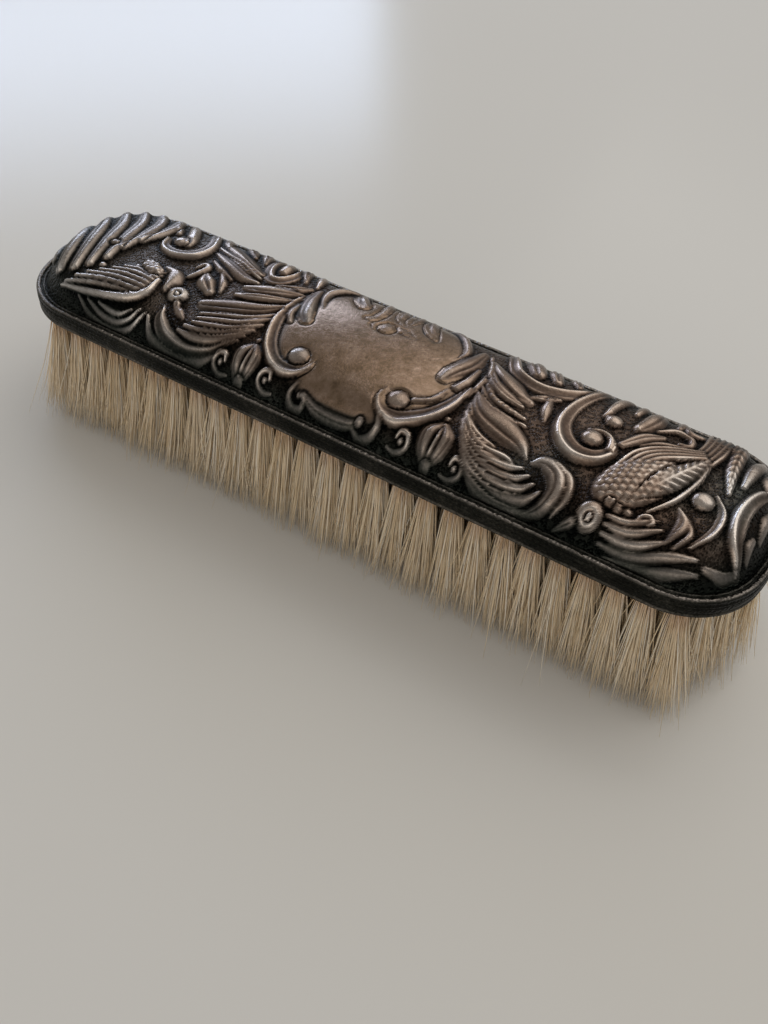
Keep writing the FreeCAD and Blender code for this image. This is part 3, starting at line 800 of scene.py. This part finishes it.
def draw_right_bird(relief):
    """Tail, scaled body, folded wing and head, with the leaves it stands in."""
    relief.swell([(54.0, -9.5), (59.0, -2.5), (66.0, 6.0)], (5.0, 6.2, 2.4), (.7, .9, .4))
    relief.swell([(56.0, -16.0), (62.0, -16.6), (70.0, -15.2)], (2.0, 3.6, 1.6), (.3, .5, .3))
    relief.fan([(63.4, 5.4), (64.8, 11.0), (65.0, 16.4), (64.2, 20.5)],
               [(66.9, 4.2), (68.6, 9.6), (69.6, 15.2), (69.8, 20.3)], 5,
               (.35, .66, .76, .6), (.9, 1.4, 1.35, 1.1))
    relief.stroke([(54.6, 3.4), (57.6, 6.0), (62.0, 8.0)], (.3, .7, .3), (.7, 1.1, .7))
    relief.scales(57.4, -5.6, (9.0, 5.3), 57, 1.3, 1.6, 0.3)
    relief.stroke([(58.6, -10.0), (60.6, -6.2), (62.8, -2.2), (64.9, 2.0), (66.7, 6.2)],
                  (.2, 1.7, 2.3, 2.0, .6), (.9, 1.4, 1.6, 1.5, 1.1), herringbone, 0.45)
    relief.fan([(52.7, -4.6), (54.6, .9), (59.0, 5.0), (65.2, 8.2)],
               [(56.6, -2.4), (58.6, .6), (61.8, 3.2), (66.2, 6.4)], 4,
               (.3, .55, .6, .35), (.7, .9, .85, .7), roll, 0.95)
    relief.stroke([(61.6, -11.0), (65.0, -6.0), (66.9, 0), (67.4, 5.0)],
                  (.3, .65, .6, .3), (.9, 1.3, 1.2, .8))
    draw_head(relief, 53.1, -15.8, 2.5, (48.2, -19.4), 0.24)
    for x, y, radius in ((55.2, -12.6, .9), (57.0, -13.0, .95), (58.8, -12.8, .9)):
        relief.bead(x, y, radius, 0.9)
    for points in (
        [(55.8, -14.6), (59.8, -14.5), (64.0, -11.8)],
        [(56.0, -15.9), (60.6, -15.9), (65.4, -13.2)],
        [(56.2, -17.2), (61.6, -17.3), (66.8, -14.9)],
        [(56.4, -18.5), (62.5, -18.6), (68.2, -16.6), (72.6, -15.0)],
        [(58.2, -19.8), (64.0, -19.8), (69.4, -18.4), (73.8, -16.6)],
    ):
        relief.stroke(points, (.35, .85, .9, .35), (.8, 1.2, 1.2, .8))
    for shape in (
        ([(66.0, -7.2), (68.0, -10.4), (67.0, -14.4)], (.3, 1.5, .6), (.8, 1.7, 1.0), lobe_left),
        ([(68.8, -9.0), (69.9, -12.0), (68.4, -15.2)], (.3, .7, .4), (.7, 1.2, .7), roll),
        ([(70.9, -1.2), (73.1, -4.8), (73.1, -9.4), (70.8, -13.8)],
         (.4, .95, .95, .4), (.9, 1.5, 1.1), band_left),
        ([(60.6, -14.0), (61.2, -12.4), (62.6, -11.8), (63.5, -12.8), (62.8, -13.6)],
         (.3, .5, .55, .5, .3), (.9, 1.4, 1.3, 1.1), roll),
        ([(71.2, 20.5), (71.0, 13), (71.3, 6.5), (72.4, .5)],
         (1.2, 1.6, 1.4, .4), (1.2, 1.6, 1.2), barbs),
    ):
        relief.stroke(*shape)


# %% [markdown]
# The left bird lays one wing along the front edge and holds the other up over the end.

# %% Left bird
def draw_left_bird(relief):
    """Spread wing, shoulder and head, with the leaves below the wing."""
    relief.swell([(-69.0, -15.0), (-60.0, -10.6), (-53.0, -8.6)], (1.2, 4.6, 6.2), (.3, .7, .9))
    relief.swell([(-63.0, -17.5), (-57.0, -18.6), (-51.0, -16.5)], (1.5, 2.6, 2.0), (.2, .4, .2))
    tips = [(-70.6, -15.9), (-69.0, -14.3), (-67.2, -12.6), (-65.2, -10.8), (-63.2, -9.0),
            (-61.2, -7.3), (-59.0, -5.8), (-56.8, -4.4)]
    for number, tip in enumerate(tips):
        root = (-52.4, -13.0 + 1.2 * number)
        middle = ((root[0] + tip[0]) / 2, (root[1] + tip[1]) / 2 + 0.6)
        relief.stroke([tip, middle, root], (.45, .8, .75), (.8, 1.1, 1.15), scallops, 0.5)
    relief.scales(-55.6, -4.6, (3.4, 1.9), 160, 1.0, 1.3, 0.5)
    relief.stroke([(-71.6, -16.7), (-65.0, -16.2), (-58.4, -15.2), (-53.6, -14.0),
                   (-51.4, -11.6), (-51.4, -7.4)],
                  (.3, .75, .9, 1.0, .95, .5), (1.0, 1.5, 1.8, 1.8, 1.3))
    relief.stroke([(-53.0, -2.8), (-50.4, -3.4), (-48.8, -5.6), (-48.5, -8.2)],
                  (.8, 1.7, 2.1, 1.3), (1.1, 1.7, 1.5))
    draw_head(relief, -45.4, -8.6, 2.4, (-42.2, -13.2), 0.08)
    for shape in (
        ([(-66.0, -17.2), (-61.4, -19.3), (-55.4, -19.9), (-50.8, -18.6), (-48.6, -15.4)],
         (.3, .6, .65, .6, .3), (.8, 1.3, 1.0), roll),
        ([(-63.4, -17.1), (-59.0, -18.4), (-54.8, -18.6), (-51.6, -17.4), (-50.2, -15.2)],
         (.3, .55, .6, .5, .3), (.7, 1.2, 1.0), roll),
        ([(-60.4, -16.9), (-57.2, -17.4), (-54.2, -17.3), (-52.0, -15.9)],
         (.3, .5, .5, .3), (.7, 1.0, .8), roll),
    ):
        relief.stroke(*shape)


def draw_raised_wing(relief):
    """The second wing of the left bird, held up over the end of the brush."""
    for points in (
        [(-67.5, 18.8), (-63.8, 13.6), (-63.4, 8.0), (-65.0, 2.4)],
        [(-71.8, 17.4), (-67.2, 11.4), (-66.0, 4.8), (-66.6, -2.0)],
        [(-75.4, 15.6), (-70.6, 8.8), (-68.6, 1.2), (-67.2, -6.6)],
        [(-78.4, 12.6), (-73.6, 5.8), (-71.2, -2.0), (-69.0, -10.2)],
        [(-80.6, 9.0), (-76.4, 2.4), (-73.8, -5.0), (-71.2, -12.6)],
        [(-81.6, 4.6), (-79.0, -1.4), (-76.6, -7.6), (-74.2, -13.8)],
    ):
        relief.stroke(points, (.8, 1.6, 1.8, 1.4), (1.1, 1.5, 1.8), lobe_left)
    relief.stroke([(-81.8, -1.6), (-80.8, -6.0), (-78.6, -11.2)], (.5, 1.1, .8), (1.0, 1.5, 1.3))
    for bead in ((-68.9, -1.9, 1.1, 1.4), (-66.0, -9.2, .9, 1.1)):
        relief.bead(*bead)


# %% [markdown]
# ## The silver back
# The sheet is a dome over the plan: flat along its length, crowned across it, with a round
# shoulder. The rows and columns of the grid are spread by arc length over the shoulder, so its
# faces stay small there too, and the relief is added square to the surface.

# %% Dome grid
ROWS, COLUMNS = 150, 592
DOME_WIDTH = HALF_WIDTH - BORDER
SHOULDER_ARC = 0.92 * SHOULDER * math.pi / 2


def spread(count, flat):
    """Side, share of the flat part and share of the shoulder, a sine, at even steps of arc."""
    run = np.linspace(-1, 1, count) * (flat + SHOULDER_ARC)
    over = np.clip(np.abs(run) - flat, 0, None) / SHOULDER_ARC * (math.pi / 2)
    return np.sign(run), np.minimum(np.abs(run), flat) / flat, np.sin(over)


def dome_points():
    """z = ledge + crown(y) * (1 - (1 - inset / shoulder)^2.5), with a circle across y as crown."""
    side, flat, over = spread(ROWS, DOME_WIDTH - SHOULDER)
    y = side * ((DOME_WIDTH - SHOULDER) * flat + SHOULDER * over)
    reach = reach_at(y, BORDER)[:, None]
    side, flat, over = spread(COLUMNS, HALF_LENGTH - BORDER - SHOULDER)
    x = side * ((reach - SHOULDER) * flat + SHOULDER * over)
    y = np.broadcast_to(y[:, None], x.shape)
    inset = np.clip(inset_at(x, y) - BORDER, 0, None)
    crown = DOME_RISE - CROWN_RADIUS + np.sqrt(CROWN_RADIUS ** 2 - y ** 2)
    z = LEDGE + crown * (1 - (1 - np.minimum(inset / SHOULDER, 1)) ** 2.5)
    return np.stack([x, y, z], -1), inset


def normals_of(points):
    """Cross product of the steps along rows and along columns."""
    normal = np.cross(np.gradient(points, axis=1), np.gradient(points, axis=0))
    return normal / np.maximum(np.linalg.norm(normal, axis=-1, keepdims=True), 1e-9)


def soften(field, reach):
    """Three running means along each way of the grid, close to a bell-shaped blur."""
    for _ in range(3):
        for axis in (0, 1):
            pad = [(0, 0), (0, 0)]
            pad[axis] = (reach + 1, reach)
            total = np.cumsum(np.pad(field, pad, mode="edge"), axis=axis)
            width = 2 * reach + 1
            high = np.take(total, range(width, total.shape[axis]), axis=axis)
            low = np.take(total, range(0, total.shape[axis] - width), axis=axis)
            field = (high - low) / width
    return field


# %% [markdown]
# Every motif is now laid on the grid, and the result is read back as two fields: the drawing and
# the swell under it.

# %% Draw the relief
base, inset = dome_points()
relief = Relief(base[..., 0], base[..., 1])
for draw in (draw_cartouche, draw_buds, draw_right_spray, draw_left_spray, draw_scrolls,
             draw_right_bird, draw_left_bird, draw_raised_wing):
    draw(relief)
drawn = relief.height.reshape(ROWS, COLUMNS)
body = relief.body.reshape(ROWS, COLUMNS)
print("relief", drawn.max().round(2), "body", body.max().round(2))

# %% [markdown]
# The stamped sheet can't turn a sharp corner, so the drawing is softened a little, and a broad
# swell is added under each group of motifs. More values go to the material: how far a place stands
# above its surroundings, which a polishing cloth reaches and which also sets painted shade in the
# hollows, how plain the ground is, where the plate is bare, and where the tarnish turns cool.

# %% Relief mesh
# Shares of the drawing as it is, eased and broad, and of the swell under it
AS_DRAWN, EASED, BROAD, SWELL = 0.52, 0.16, 0.24, 0.7
INSIDE_STEP = 5


def close_below(rows, columns, step):
    """Faces from the edge of a fine grid to that of a coarse one that is numbered after it."""
    fine = np.arange(rows * columns).reshape(rows, columns)
    small_rows, small_columns = (rows - 1) // step + 1, (columns - 1) // step + 1
    small = rows * columns + np.arange(small_rows * small_columns)
    small = small.reshape(small_rows, small_columns)

    def loop(grid):
        """Numbers round the edge of a grid."""
        return np.concatenate([grid[0, :-1], grid[:-1, -1], grid[-1, :0:-1], grid[:0:-1, 0]])

    outer, inner = loop(fine), loop(small)
    count = len(inner)
    first = np.arange(count) * step
    along = [np.take(outer, (first + k) % len(outer)) for k in range(step, -1, -1)]
    return np.stack([*along, inner, np.roll(inner, -1)], -1)


def sheet_rise():
    """Height over the dome: the drawing at three softnesses and the swell, fading at the foot."""
    rise = AS_DRAWN * drawn + EASED * soften(drawn, 1) + BROAD * soften(drawn, 7)
    rise = rise + SWELL * soften(body, 2)
    return rise * np.clip(inset / 3.0, 0, 1) ** 0.7


def sheet_values(rise):
    """What the material reads, 0 to 1 at each place: wear and painted shade, ground, plate and cool
    tarnish.
    """
    fine, broad = rise - soften(rise, 1), rise - soften(rise, 4)
    near_edge = np.exp(-((inset / 4.0) ** 2))
    # Wear and painted shade: high places lighter, hollows painted darker, a little darker near the
    # border.
    wear_and_shade = 0.42 + 1.05 * fine + 0.42 * broad + 0.06 * rise - 0.05 * near_edge
    wear_and_shade = np.clip(wear_and_shade, 0, 1)
    ground = np.clip(1 - drawn / 0.18, 0, 1)
    left_end = np.clip((-base[..., 0] - 30) / 45, 0, 1)
    cool = np.clip(near_edge + 0.6 * left_end, 0, 1)
    away, pillow = plate_pillow(base[..., 0], base[..., 1])
    bare = drawn - pillow < 0.02
    plate = bare * np.clip((1 - away) * 5, 0, 1) * np.clip((wear_and_shade - 0.3) / 0.15, 0, 1)
    # The plain ground is darker near the border.
    wear_and_shade = wear_and_shade * (1 - ground * (0.38 * near_edge - 0.05))
    return {"wear_and_shade": wear_and_shade, "ground": ground, "plate": plate, "cool": cool}


def make_relief(material):
    """The stamped sheet: fine outside, a coarser inside one sheet below, closed round the edge."""
    rise = sheet_rise()
    normal = normals_of(base)
    outer = base + normal * rise[..., None]
    inner = (base - normal * SHEET)[::INSIDE_STEP, ::INSIDE_STEP]
    inner[..., 2] = np.maximum(inner[..., 2], LEDGE - SHEET)
    rows, columns = inner.shape[:2]
    faces = [grid_faces(ROWS, COLUMNS),
             grid_faces(rows, columns)[:, ::-1] + ROWS * COLUMNS,
             close_below(ROWS, COLUMNS, INSIDE_STEP)]
    points = np.vstack([outer.reshape(-1, 3), inner.reshape(-1, 3)])
    unseen = np.zeros(rows * columns)
    values = {name: np.r_[value.ravel(), unseen] for name, value in sheet_values(rise).items()}
    piece = make_piece("stamped_back", points, faces, material, values)
    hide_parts("silver_cover")


# %% [markdown]
# Old brushes were filled with pitch, poured in while the sheet lay face down, so the pitch follows
# the sheet's inside on top and the wooden back below. It can't be seen unless the sheet is lifted.

# %% Pitch
BACK_INSET, BACK_RISE, BACK_SHOULDER = 5.0, 3.9, 4.0
PITCH_GAP, BOARD_GAP, WOOD_GAP, THINNEST = 0.06, 0.02, 0.03, 0.05


def wood_level(x, y):
    """Top of the wooden back: its rise and crown, less r - sqrt(r^2 - k^2) at the edge."""
    into = np.clip(BACK_SHOULDER + BACK_INSET - inset_at(x, y), 0, BACK_SHOULDER)
    crown = BACK_RISE - CROWN_RADIUS + np.sqrt(CROWN_RADIUS ** 2 - y ** 2)
    level = crown - BACK_SHOULDER + np.sqrt(BACK_SHOULDER ** 2 - into ** 2)
    return np.where(inset_at(x, y) < BACK_INSET, 0, np.clip(level, 0, None))


def make_filling(material):
    """Closed shell between the inside of the sheet and the wooden back."""
    top = (base - normals_of(base) * (SHEET + PITCH_GAP))[::INSIDE_STEP, ::INSIDE_STEP]
    floor = LEDGE - SHEET + BOARD_GAP
    top[..., 2] = np.maximum(top[..., 2], floor + PITCH_GAP)
    wood = floor + wood_level(top[..., 0], top[..., 1]) + WOOD_GAP
    under = top.copy()
    under[..., 2] = np.minimum(top[..., 2] - THINNEST, wood)
    rows, columns = top.shape[:2]
    faces = [grid_faces(rows, columns),
             grid_faces(rows, columns)[:, ::-1] + rows * columns,
             close_below(rows, columns, 1)]
    points = np.vstack([top.reshape(-1, 3), under.reshape(-1, 3)])
    piece = make_piece("pitch_filling", points, faces, material)
    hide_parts("back_filling")


# %% [markdown]
# ## Tarnished silver
# Sterling silver sheet, die-stamped, then worn. The real metal is bright and neutral, and its
# sulphide tarnish is brown to blue-black. Hands and cloths keep the high places bright, and the
# hollows get painted shade as well, so the colour follows the wear and shade value, through a warm
# and a cool ramp. The matted ground is punched with dots about 0.7 mm apart.

# %% Silver
WARM = [(0.1, "#0c0907"), (0.26, "#2b211b"), (0.4, "#4f4138"),
        (0.55, "#6b5a4f"), (0.72, "#8e7c6f"), (1.0, "#d0c0b3")]
COOL = [(0.1, "#080a0a"), (0.26, "#1f221f"), (0.4, "#40413d"),
        (0.55, "#63605c"), (0.72, "#8a8580"), (1.0, "#d2cdc8")]
PLATE = [(0.32, "#584839"), (0.45, "#75614f"), (0.56, "#846f5f"), (0.68, "#9a8676")]


def make_silver():
    """Tarnish by wear and painted shade, mottled brown on the bare plate, with a punched ground."""
    material, tree = new_material("tarnished_sterling_silver")
    # Wear and painted shade from the mesh: high places light, hollows painted dark.
    wear_and_shade, ground, plate, cool = (
        point_value(tree, name) for name in ("wear_and_shade", "ground", "plate", "cool"))
    place = millimetres(tree)
    specks = noise(tree, place, 1.6, 4.0, 0.7)
    patch_shift = grey_ramp(tree, noise(tree, place, 0.09, 3.0, 0.6), 0.3, 0.7, -0.08, 0.08)
    speck_shift = grey_ramp(tree, specks, 0.25, 0.75, -0.09, 0.09)
    shift = combine(tree, "ADD", patch_shift, speck_shift)
    level = combine(tree, "ADD", wear_and_shade, shift, clamp=True)
    cool_patch = grey_ramp(tree, noise(tree, place, 0.045, 2.0), 0.5, 0.72)
    cool = combine(tree, "MAXIMUM", cool_patch, cool)
    tarnish = mix(tree, cool, colour_ramp(tree, level, WARM), colour_ramp(tree, level, COOL))
    plate_colour = colour_ramp(tree, noise(tree, place, 0.34, 8.0, 0.82), PLATE)
    dots = add(tree, "ShaderNodeTexVoronoi", Vector=place, Scale=1.4).outputs["Distance"]
    punched = combine(tree, "MULTIPLY", grey_ramp(tree, dots, 0.1, 0.6), ground)
    height = combine(tree, "ADD", punched, combine(tree, "MULTIPLY", specks, 0.12))
    polish = combine(tree, "MAXIMUM", level, plate)
    surface(tree, Base_Color=mix(tree, plate, tarnish, plate_colour), Metallic=1.0,
            Roughness=grey_ramp(tree, polish, 0.2, 0.8, 0.45, 0.22),
            Normal=bump(tree, height, 1.0, 0.5))
    return material


silver = make_silver()
make_relief(silver)

# %% [markdown]
# ## The border
# The edge of the sheet is rolled into two reeds, drawn down as a plain band and turned in under
# the board. All of that is one closed section carried round the outline.

# %% Border
def arc_points(inset, z, radius, start, stop, count):
    """Part of a circle in the section, angles in degrees from outwards, turning upwards."""
    turn = np.radians(np.linspace(start, stop, count))
    return np.stack([inset - radius * np.cos(turn), z + radius * np.sin(turn)], 1)


def border_section():
    """Closed section as (inset, z) points, from the foot of the dome outwards, down and back."""
    foot, inside = 0.42, SHEET + 0.1
    pieces = [
        [(BORDER + 0.5, LEDGE - SHEET), (BORDER + 0.5, LEDGE - 0.1), (BORDER + 0.1, LEDGE)],
        # inner reed, outer reed and the bead under it
        arc_points(1.72, LEDGE, 0.32, 170, 10, 7),
        arc_points(0.62, LEDGE - 0.05, 0.55, 165, -40, 11),
        arc_points(0.30, LEDGE - 1.15, 0.30, 60, -60, 6),
        # plain band and rounded foot
        [(0.28, LEDGE - 1.5), (0.12, LEDGE - 1.75), (0.04, LEDGE - 2.3)],
        [(0.10, LEDGE - 2.85), (0.26, LEDGE - 3.05)],
        arc_points(foot, RIM_BOTTOM + foot, foot, 50, -90, 8),
        # lip under the board, and the inside of the sheet
        [(LIP - 0.1, RIM_BOTTOM), (LIP, RIM_BOTTOM + 0.1), (LIP, RIM_BOTTOM + SHEET - 0.02)],
        [(SHEET + 0.3, RIM_BOTTOM + SHEET), (inside, RIM_BOTTOM + SHEET + 0.3)],
        [(inside, LEDGE - SHEET)],
    ]
    return np.vstack([np.asarray(piece) for piece in pieces])


def make_border(material):
    """Point = outline - outward * inset of the section, at the section's height."""
    section = border_section()
    points, outward = outline(640)
    plan = points[None] - outward[None] * section[:, 0][:, None, None]
    z = np.broadcast_to(section[:, 1][:, None, None], plan.shape[:2] + (1,))
    rows, columns = plan.shape[:2]
    lift = np.clip((section[:, 1] - LEDGE - 0.1) / 0.35, 0, 1)
    foot_line = np.exp(-(((section[:, 1] - RIM_BOTTOM - 0.55) / 0.3) ** 2))
    wear_and_shade = np.clip(0.25 + 0.36 * lift ** 2 + 0.2 * foot_line, 0, 1)[:, None] * np.ones(columns)
    values = {"wear_and_shade": wear_and_shade, "ground": wear_and_shade * 0 + 0.3, "plate": wear_and_shade * 0, "cool": wear_and_shade * 0 + 0.8}
    faces = [grid_faces(rows, columns, True, True)]
    points = np.concatenate([plan, z], -1).reshape(-1, 3)
    piece = make_piece("reeded_border", points, faces, material, values)
    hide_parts("silver_cover")


make_border(silver)

# %% [markdown]
# ## Bristles
# Each tuft is a bundle of natural hair, folded over the wire and pulled into its hole. It leaves
# the board as a tight bundle, splays, and falls into a few locks with ragged tips. A hair is a
# three-sided tapered tube along a curve, and a whole row of tufts is one array.

# %% Hair
ROWS_OF_TUFTS, ROW_PITCH, TUFT_PITCH, TUFT_EDGE_GAP = 7, 5.9, 5.62, 3.25
SPREAD_ALONG, SPREAD_ACROSS = 1.05, 1.13
HAIR_ROOT = board_low[2] + 0.3
HAIR_RADIUS, HAIR_STEPS = 0.105, 5
HAIRS_OUTER, HAIRS_INNER = 230, 130
BUNDLE_RADIUS, SPLAY, LOCKS = 1.45, 3.5, 7


def tuft_row(row):
    """Places of one row's tufts, evenly spaced, with alternate rows half a pitch along."""
    y = (row - (ROWS_OF_TUFTS - 1) / 2) * ROW_PITCH
    start = TUFT_PITCH / 2 if min(row, ROWS_OF_TUFTS - 1 - row) % 2 else 0.0
    steps = int((float(reach_at(np.array(y), TUFT_EDGE_GAP)) - start) / TUFT_PITCH)
    right = start + TUFT_PITCH * np.arange(steps + 1)
    x = np.sort(np.r_[right, -right[right > 0]])
    return np.stack([x, np.full(len(x), y)], 1)


def hair_curves(centres, hairs, rng):
    """Points (hair, step, xyz): root + (tip - root) * eased share, plus a bow and a small wave."""
    tufts, count = len(centres), len(centres) * hairs
    tuft = np.repeat(np.arange(tufts), hairs)
    angle, away = rng.uniform(0, 2 * math.pi, count), np.sqrt(rng.uniform(0, 1, count))
    in_bundle = (away * np.stack([np.cos(angle), np.sin(angle)])).T
    root = centres[tuft] + BUNDLE_RADIUS * in_bundle
    lock_place = rng.normal(0, 1.45, (tufts, LOCKS, 2))
    lock_low = rng.uniform(0.0, 2.4, (tufts, LOCKS))
    lock = rng.integers(0, LOCKS, count)
    fan = centres[tuft] * (SPREAD_ALONG, SPREAD_ACROSS)
    own = SPLAY * in_bundle
    tip = fan + 0.7 * lock_place[tuft, lock] + own + rng.normal(0, 0.9, (count, 2))
    stray = rng.uniform(0, 1, count) < 0.04
    tip += stray[:, None] * rng.normal(0, 2.6, (count, 2))
    low = np.clip(lock_low[tuft, lock] + np.abs(rng.normal(0, 1.3, count)), 0.05, 9)
    low = np.where(rng.uniform(0, 1, count) < 0.35, rng.uniform(0.05, 0.8, count), low)
    share = np.linspace(0, 1, HAIR_STEPS)[None, :, None]
    ease = 0.75 * share + 0.25 * share ** 2
    plan = root[:, None] + (tip - root)[:, None] * ease
    bow = rng.normal(0, 0.35, (count, 1, 2)) * np.sin(math.pi * share)
    wave = rng.normal(0, 0.10, (count, 1, 2))
    wave = wave * np.sin(2.6 * math.pi * share + rng.uniform(0, 6, (count, 1, 1)))
    plan = plan + bow + wave
    z = HAIR_ROOT + (low - HAIR_ROOT)[:, None] * share[0, :, 0]
    return np.concatenate([plan, z[..., None]], -1)


# %% [markdown]
# A tube of three sides is laid round each curve. Two values go to the material: a tone for each
# hair, and the share of the way from root to tip.

# %% Tuft rows
def make_tuft_row(row, hairs, material):
    """Three-sided tubes round the hair curves, thinner towards the tip, closed at both ends."""
    rng = np.random.default_rng(40 + row)
    curves = hair_curves(tuft_row(row), hairs, rng)
    count = len(curves)
    share = np.linspace(0, 1, HAIR_STEPS)
    radius = HAIR_RADIUS * rng.uniform(0.75, 1.25, (count, 1)) * (1 - 0.75 * share ** 3)
    turn = rng.uniform(0, 2, (count, 1, 1)) + np.arange(3) * 2 * math.pi / 3
    ring = np.stack([np.cos(turn), np.sin(turn), 0 * turn], -1) * radius[..., None, None]
    points = curves[:, :, None] + ring
    points[..., 2] = np.clip(points[..., 2], 0.0, None)
    one = grid_faces(HAIR_STEPS, 3, False, True)[:, ::-1]
    size = 3 * HAIR_STEPS
    ends = np.array([[0, 1, 2], [size - 1, size - 2, size - 3]])
    offset = np.arange(count)[:, None, None] * size
    faces = [(one + offset).reshape(-1, 4), (ends + offset).reshape(-1, 3)]
    tone = np.broadcast_to(rng.uniform(0, 1, (count, 1, 1)), points.shape[:3])
    along = np.broadcast_to(share[None, :, None], points.shape[:3])
    piece = make_piece(f"hair_row_{row + 1}", points.reshape(-1, 3), faces, material,
                       {"tone": tone, "along": along})
    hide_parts(f"tuft_row_{row + 1}")


# %% [markdown]
# Bleached bristle is pale straw. Towards the root it gets a painted warm shade, darker and warmer
# where the tufts close together. No two hairs are quite the same colour, which a random value per
# hair gives.

# %% Bristle material
STRAW = [(0.0, "#ead4b0"), (0.4, "#f6e2c2"), (0.8, "#fdf0da"), (1.0, "#fffaf0")]


def make_bristle():
    """Straw by each hair's own tone, with painted warm shade over the first third from the root."""
    material, tree = new_material("bleached_natural_bristle")
    pale = colour_ramp(tree, point_value(tree, "tone"), STRAW)
    # Painted warm shade: strongest at the root, gone a third of the way to the tip.
    root_shade = grey_ramp(tree, point_value(tree, "along"), 0.0, 0.3, 0.75, 0.0)
    surface(tree, Base_Color=mix(tree, root_shade, pale, linear("#b5762f")), Roughness=0.4)
    return material


bristle = make_bristle()
for row in range(ROWS_OF_TUFTS):
    hairs = HAIRS_OUTER if row in (0, ROWS_OF_TUFTS - 1) else HAIRS_INNER
    make_tuft_row(row, hairs, bristle)

# %% [markdown]
# ## The board and what the cover hides
# The face of the bristle board is stained hardwood. The pieces inside get plain finishes of what
# they are: turned wood, cast pitch and soft brass wire.

# %% Board face
def make_wood(name, dark, light, grain_mm):
    """Wood with its grain along the brush."""
    material, tree = new_material(name)
    stretch = add(tree, "ShaderNodeMapping", Vector=millimetres(tree), Scale=(0.06, 1.0, 1.0))
    grain = noise(tree, stretch.outputs[0], 1 / grain_mm, 5.0, 0.65)
    surface(tree, Base_Color=colour_ramp(tree, grain, [(0.3, dark), (0.7, light)]),
            Roughness=0.5, Normal=bump(tree, grain, 0.3, 0.1))
    return material


def make_board_face(material):
    """A thin plate with the outline of the board's opening and a rounded edge."""
    count = 400
    points, outward = outline(count)
    low, high = RIM_BOTTOM + SHEET + 0.05, RIM_BOTTOM + SHEET + 0.8
    section = [(LIP + 0.06, high), (LIP + 0.06, low + 0.1), (LIP + 0.16, low)]
    rings = [np.c_[points - outward * inset, np.full(count, z)] for inset, z in section]
    first = np.arange(count)[None, :]
    faces = [grid_faces(len(rings), count, False, True)[:, ::-1],
             first,
             first[:, ::-1] + (len(rings) - 1) * count]
    make_piece("board_face", np.vstack(rings), faces, material, smooth=False)


board_wood = make_wood("stained_hardwood", "#6e421d", "#ae7136", 1.2)
make_board_face(board_wood)

# %% Hidden pieces
def make_plain(name, hex_colour, hex_second, scale_mm, metallic, roughness):
    """A plain finish, clouded between two close colours."""
    material, tree = new_material(name)
    clouds = noise(tree, millimetres(tree), 1 / scale_mm, 4.0)
    surface(tree, Base_Color=colour_ramp(tree, clouds, [(0.3, hex_colour), (0.7, hex_second)]),
            Metallic=metallic, Roughness=roughness)
    return material


def dress(node, material):
    """Give a CAD piece its material."""
    mesh = bpy.data.objects[node].data
    mesh.materials.clear()
    mesh.materials.append(material)


back_wood = make_wood("planed_beech", "#8d6238", "#b58552", 1.5)
pitch = make_plain("cast_pitch", "#1a1512", "#2c241e", 2.0, 0.0, 0.6)
brass = make_plain("soft_brass_wire", "#8f6f2e", "#c29a4a", 1.0, 1.0, 0.35)
dress("bristle_board", board_wood)
dress("wooden_back", back_wood)
make_filling(pitch)
for row in range(ROWS_OF_TUFTS):
    dress(f"drawing_wire_{row + 1}", brass)

# %% [markdown]
# The count of pieces and materials is printed at the end.

# %% Pieces and materials
print("pieces", len(bpy.data.meshes), "materials", len(bpy.data.materials))
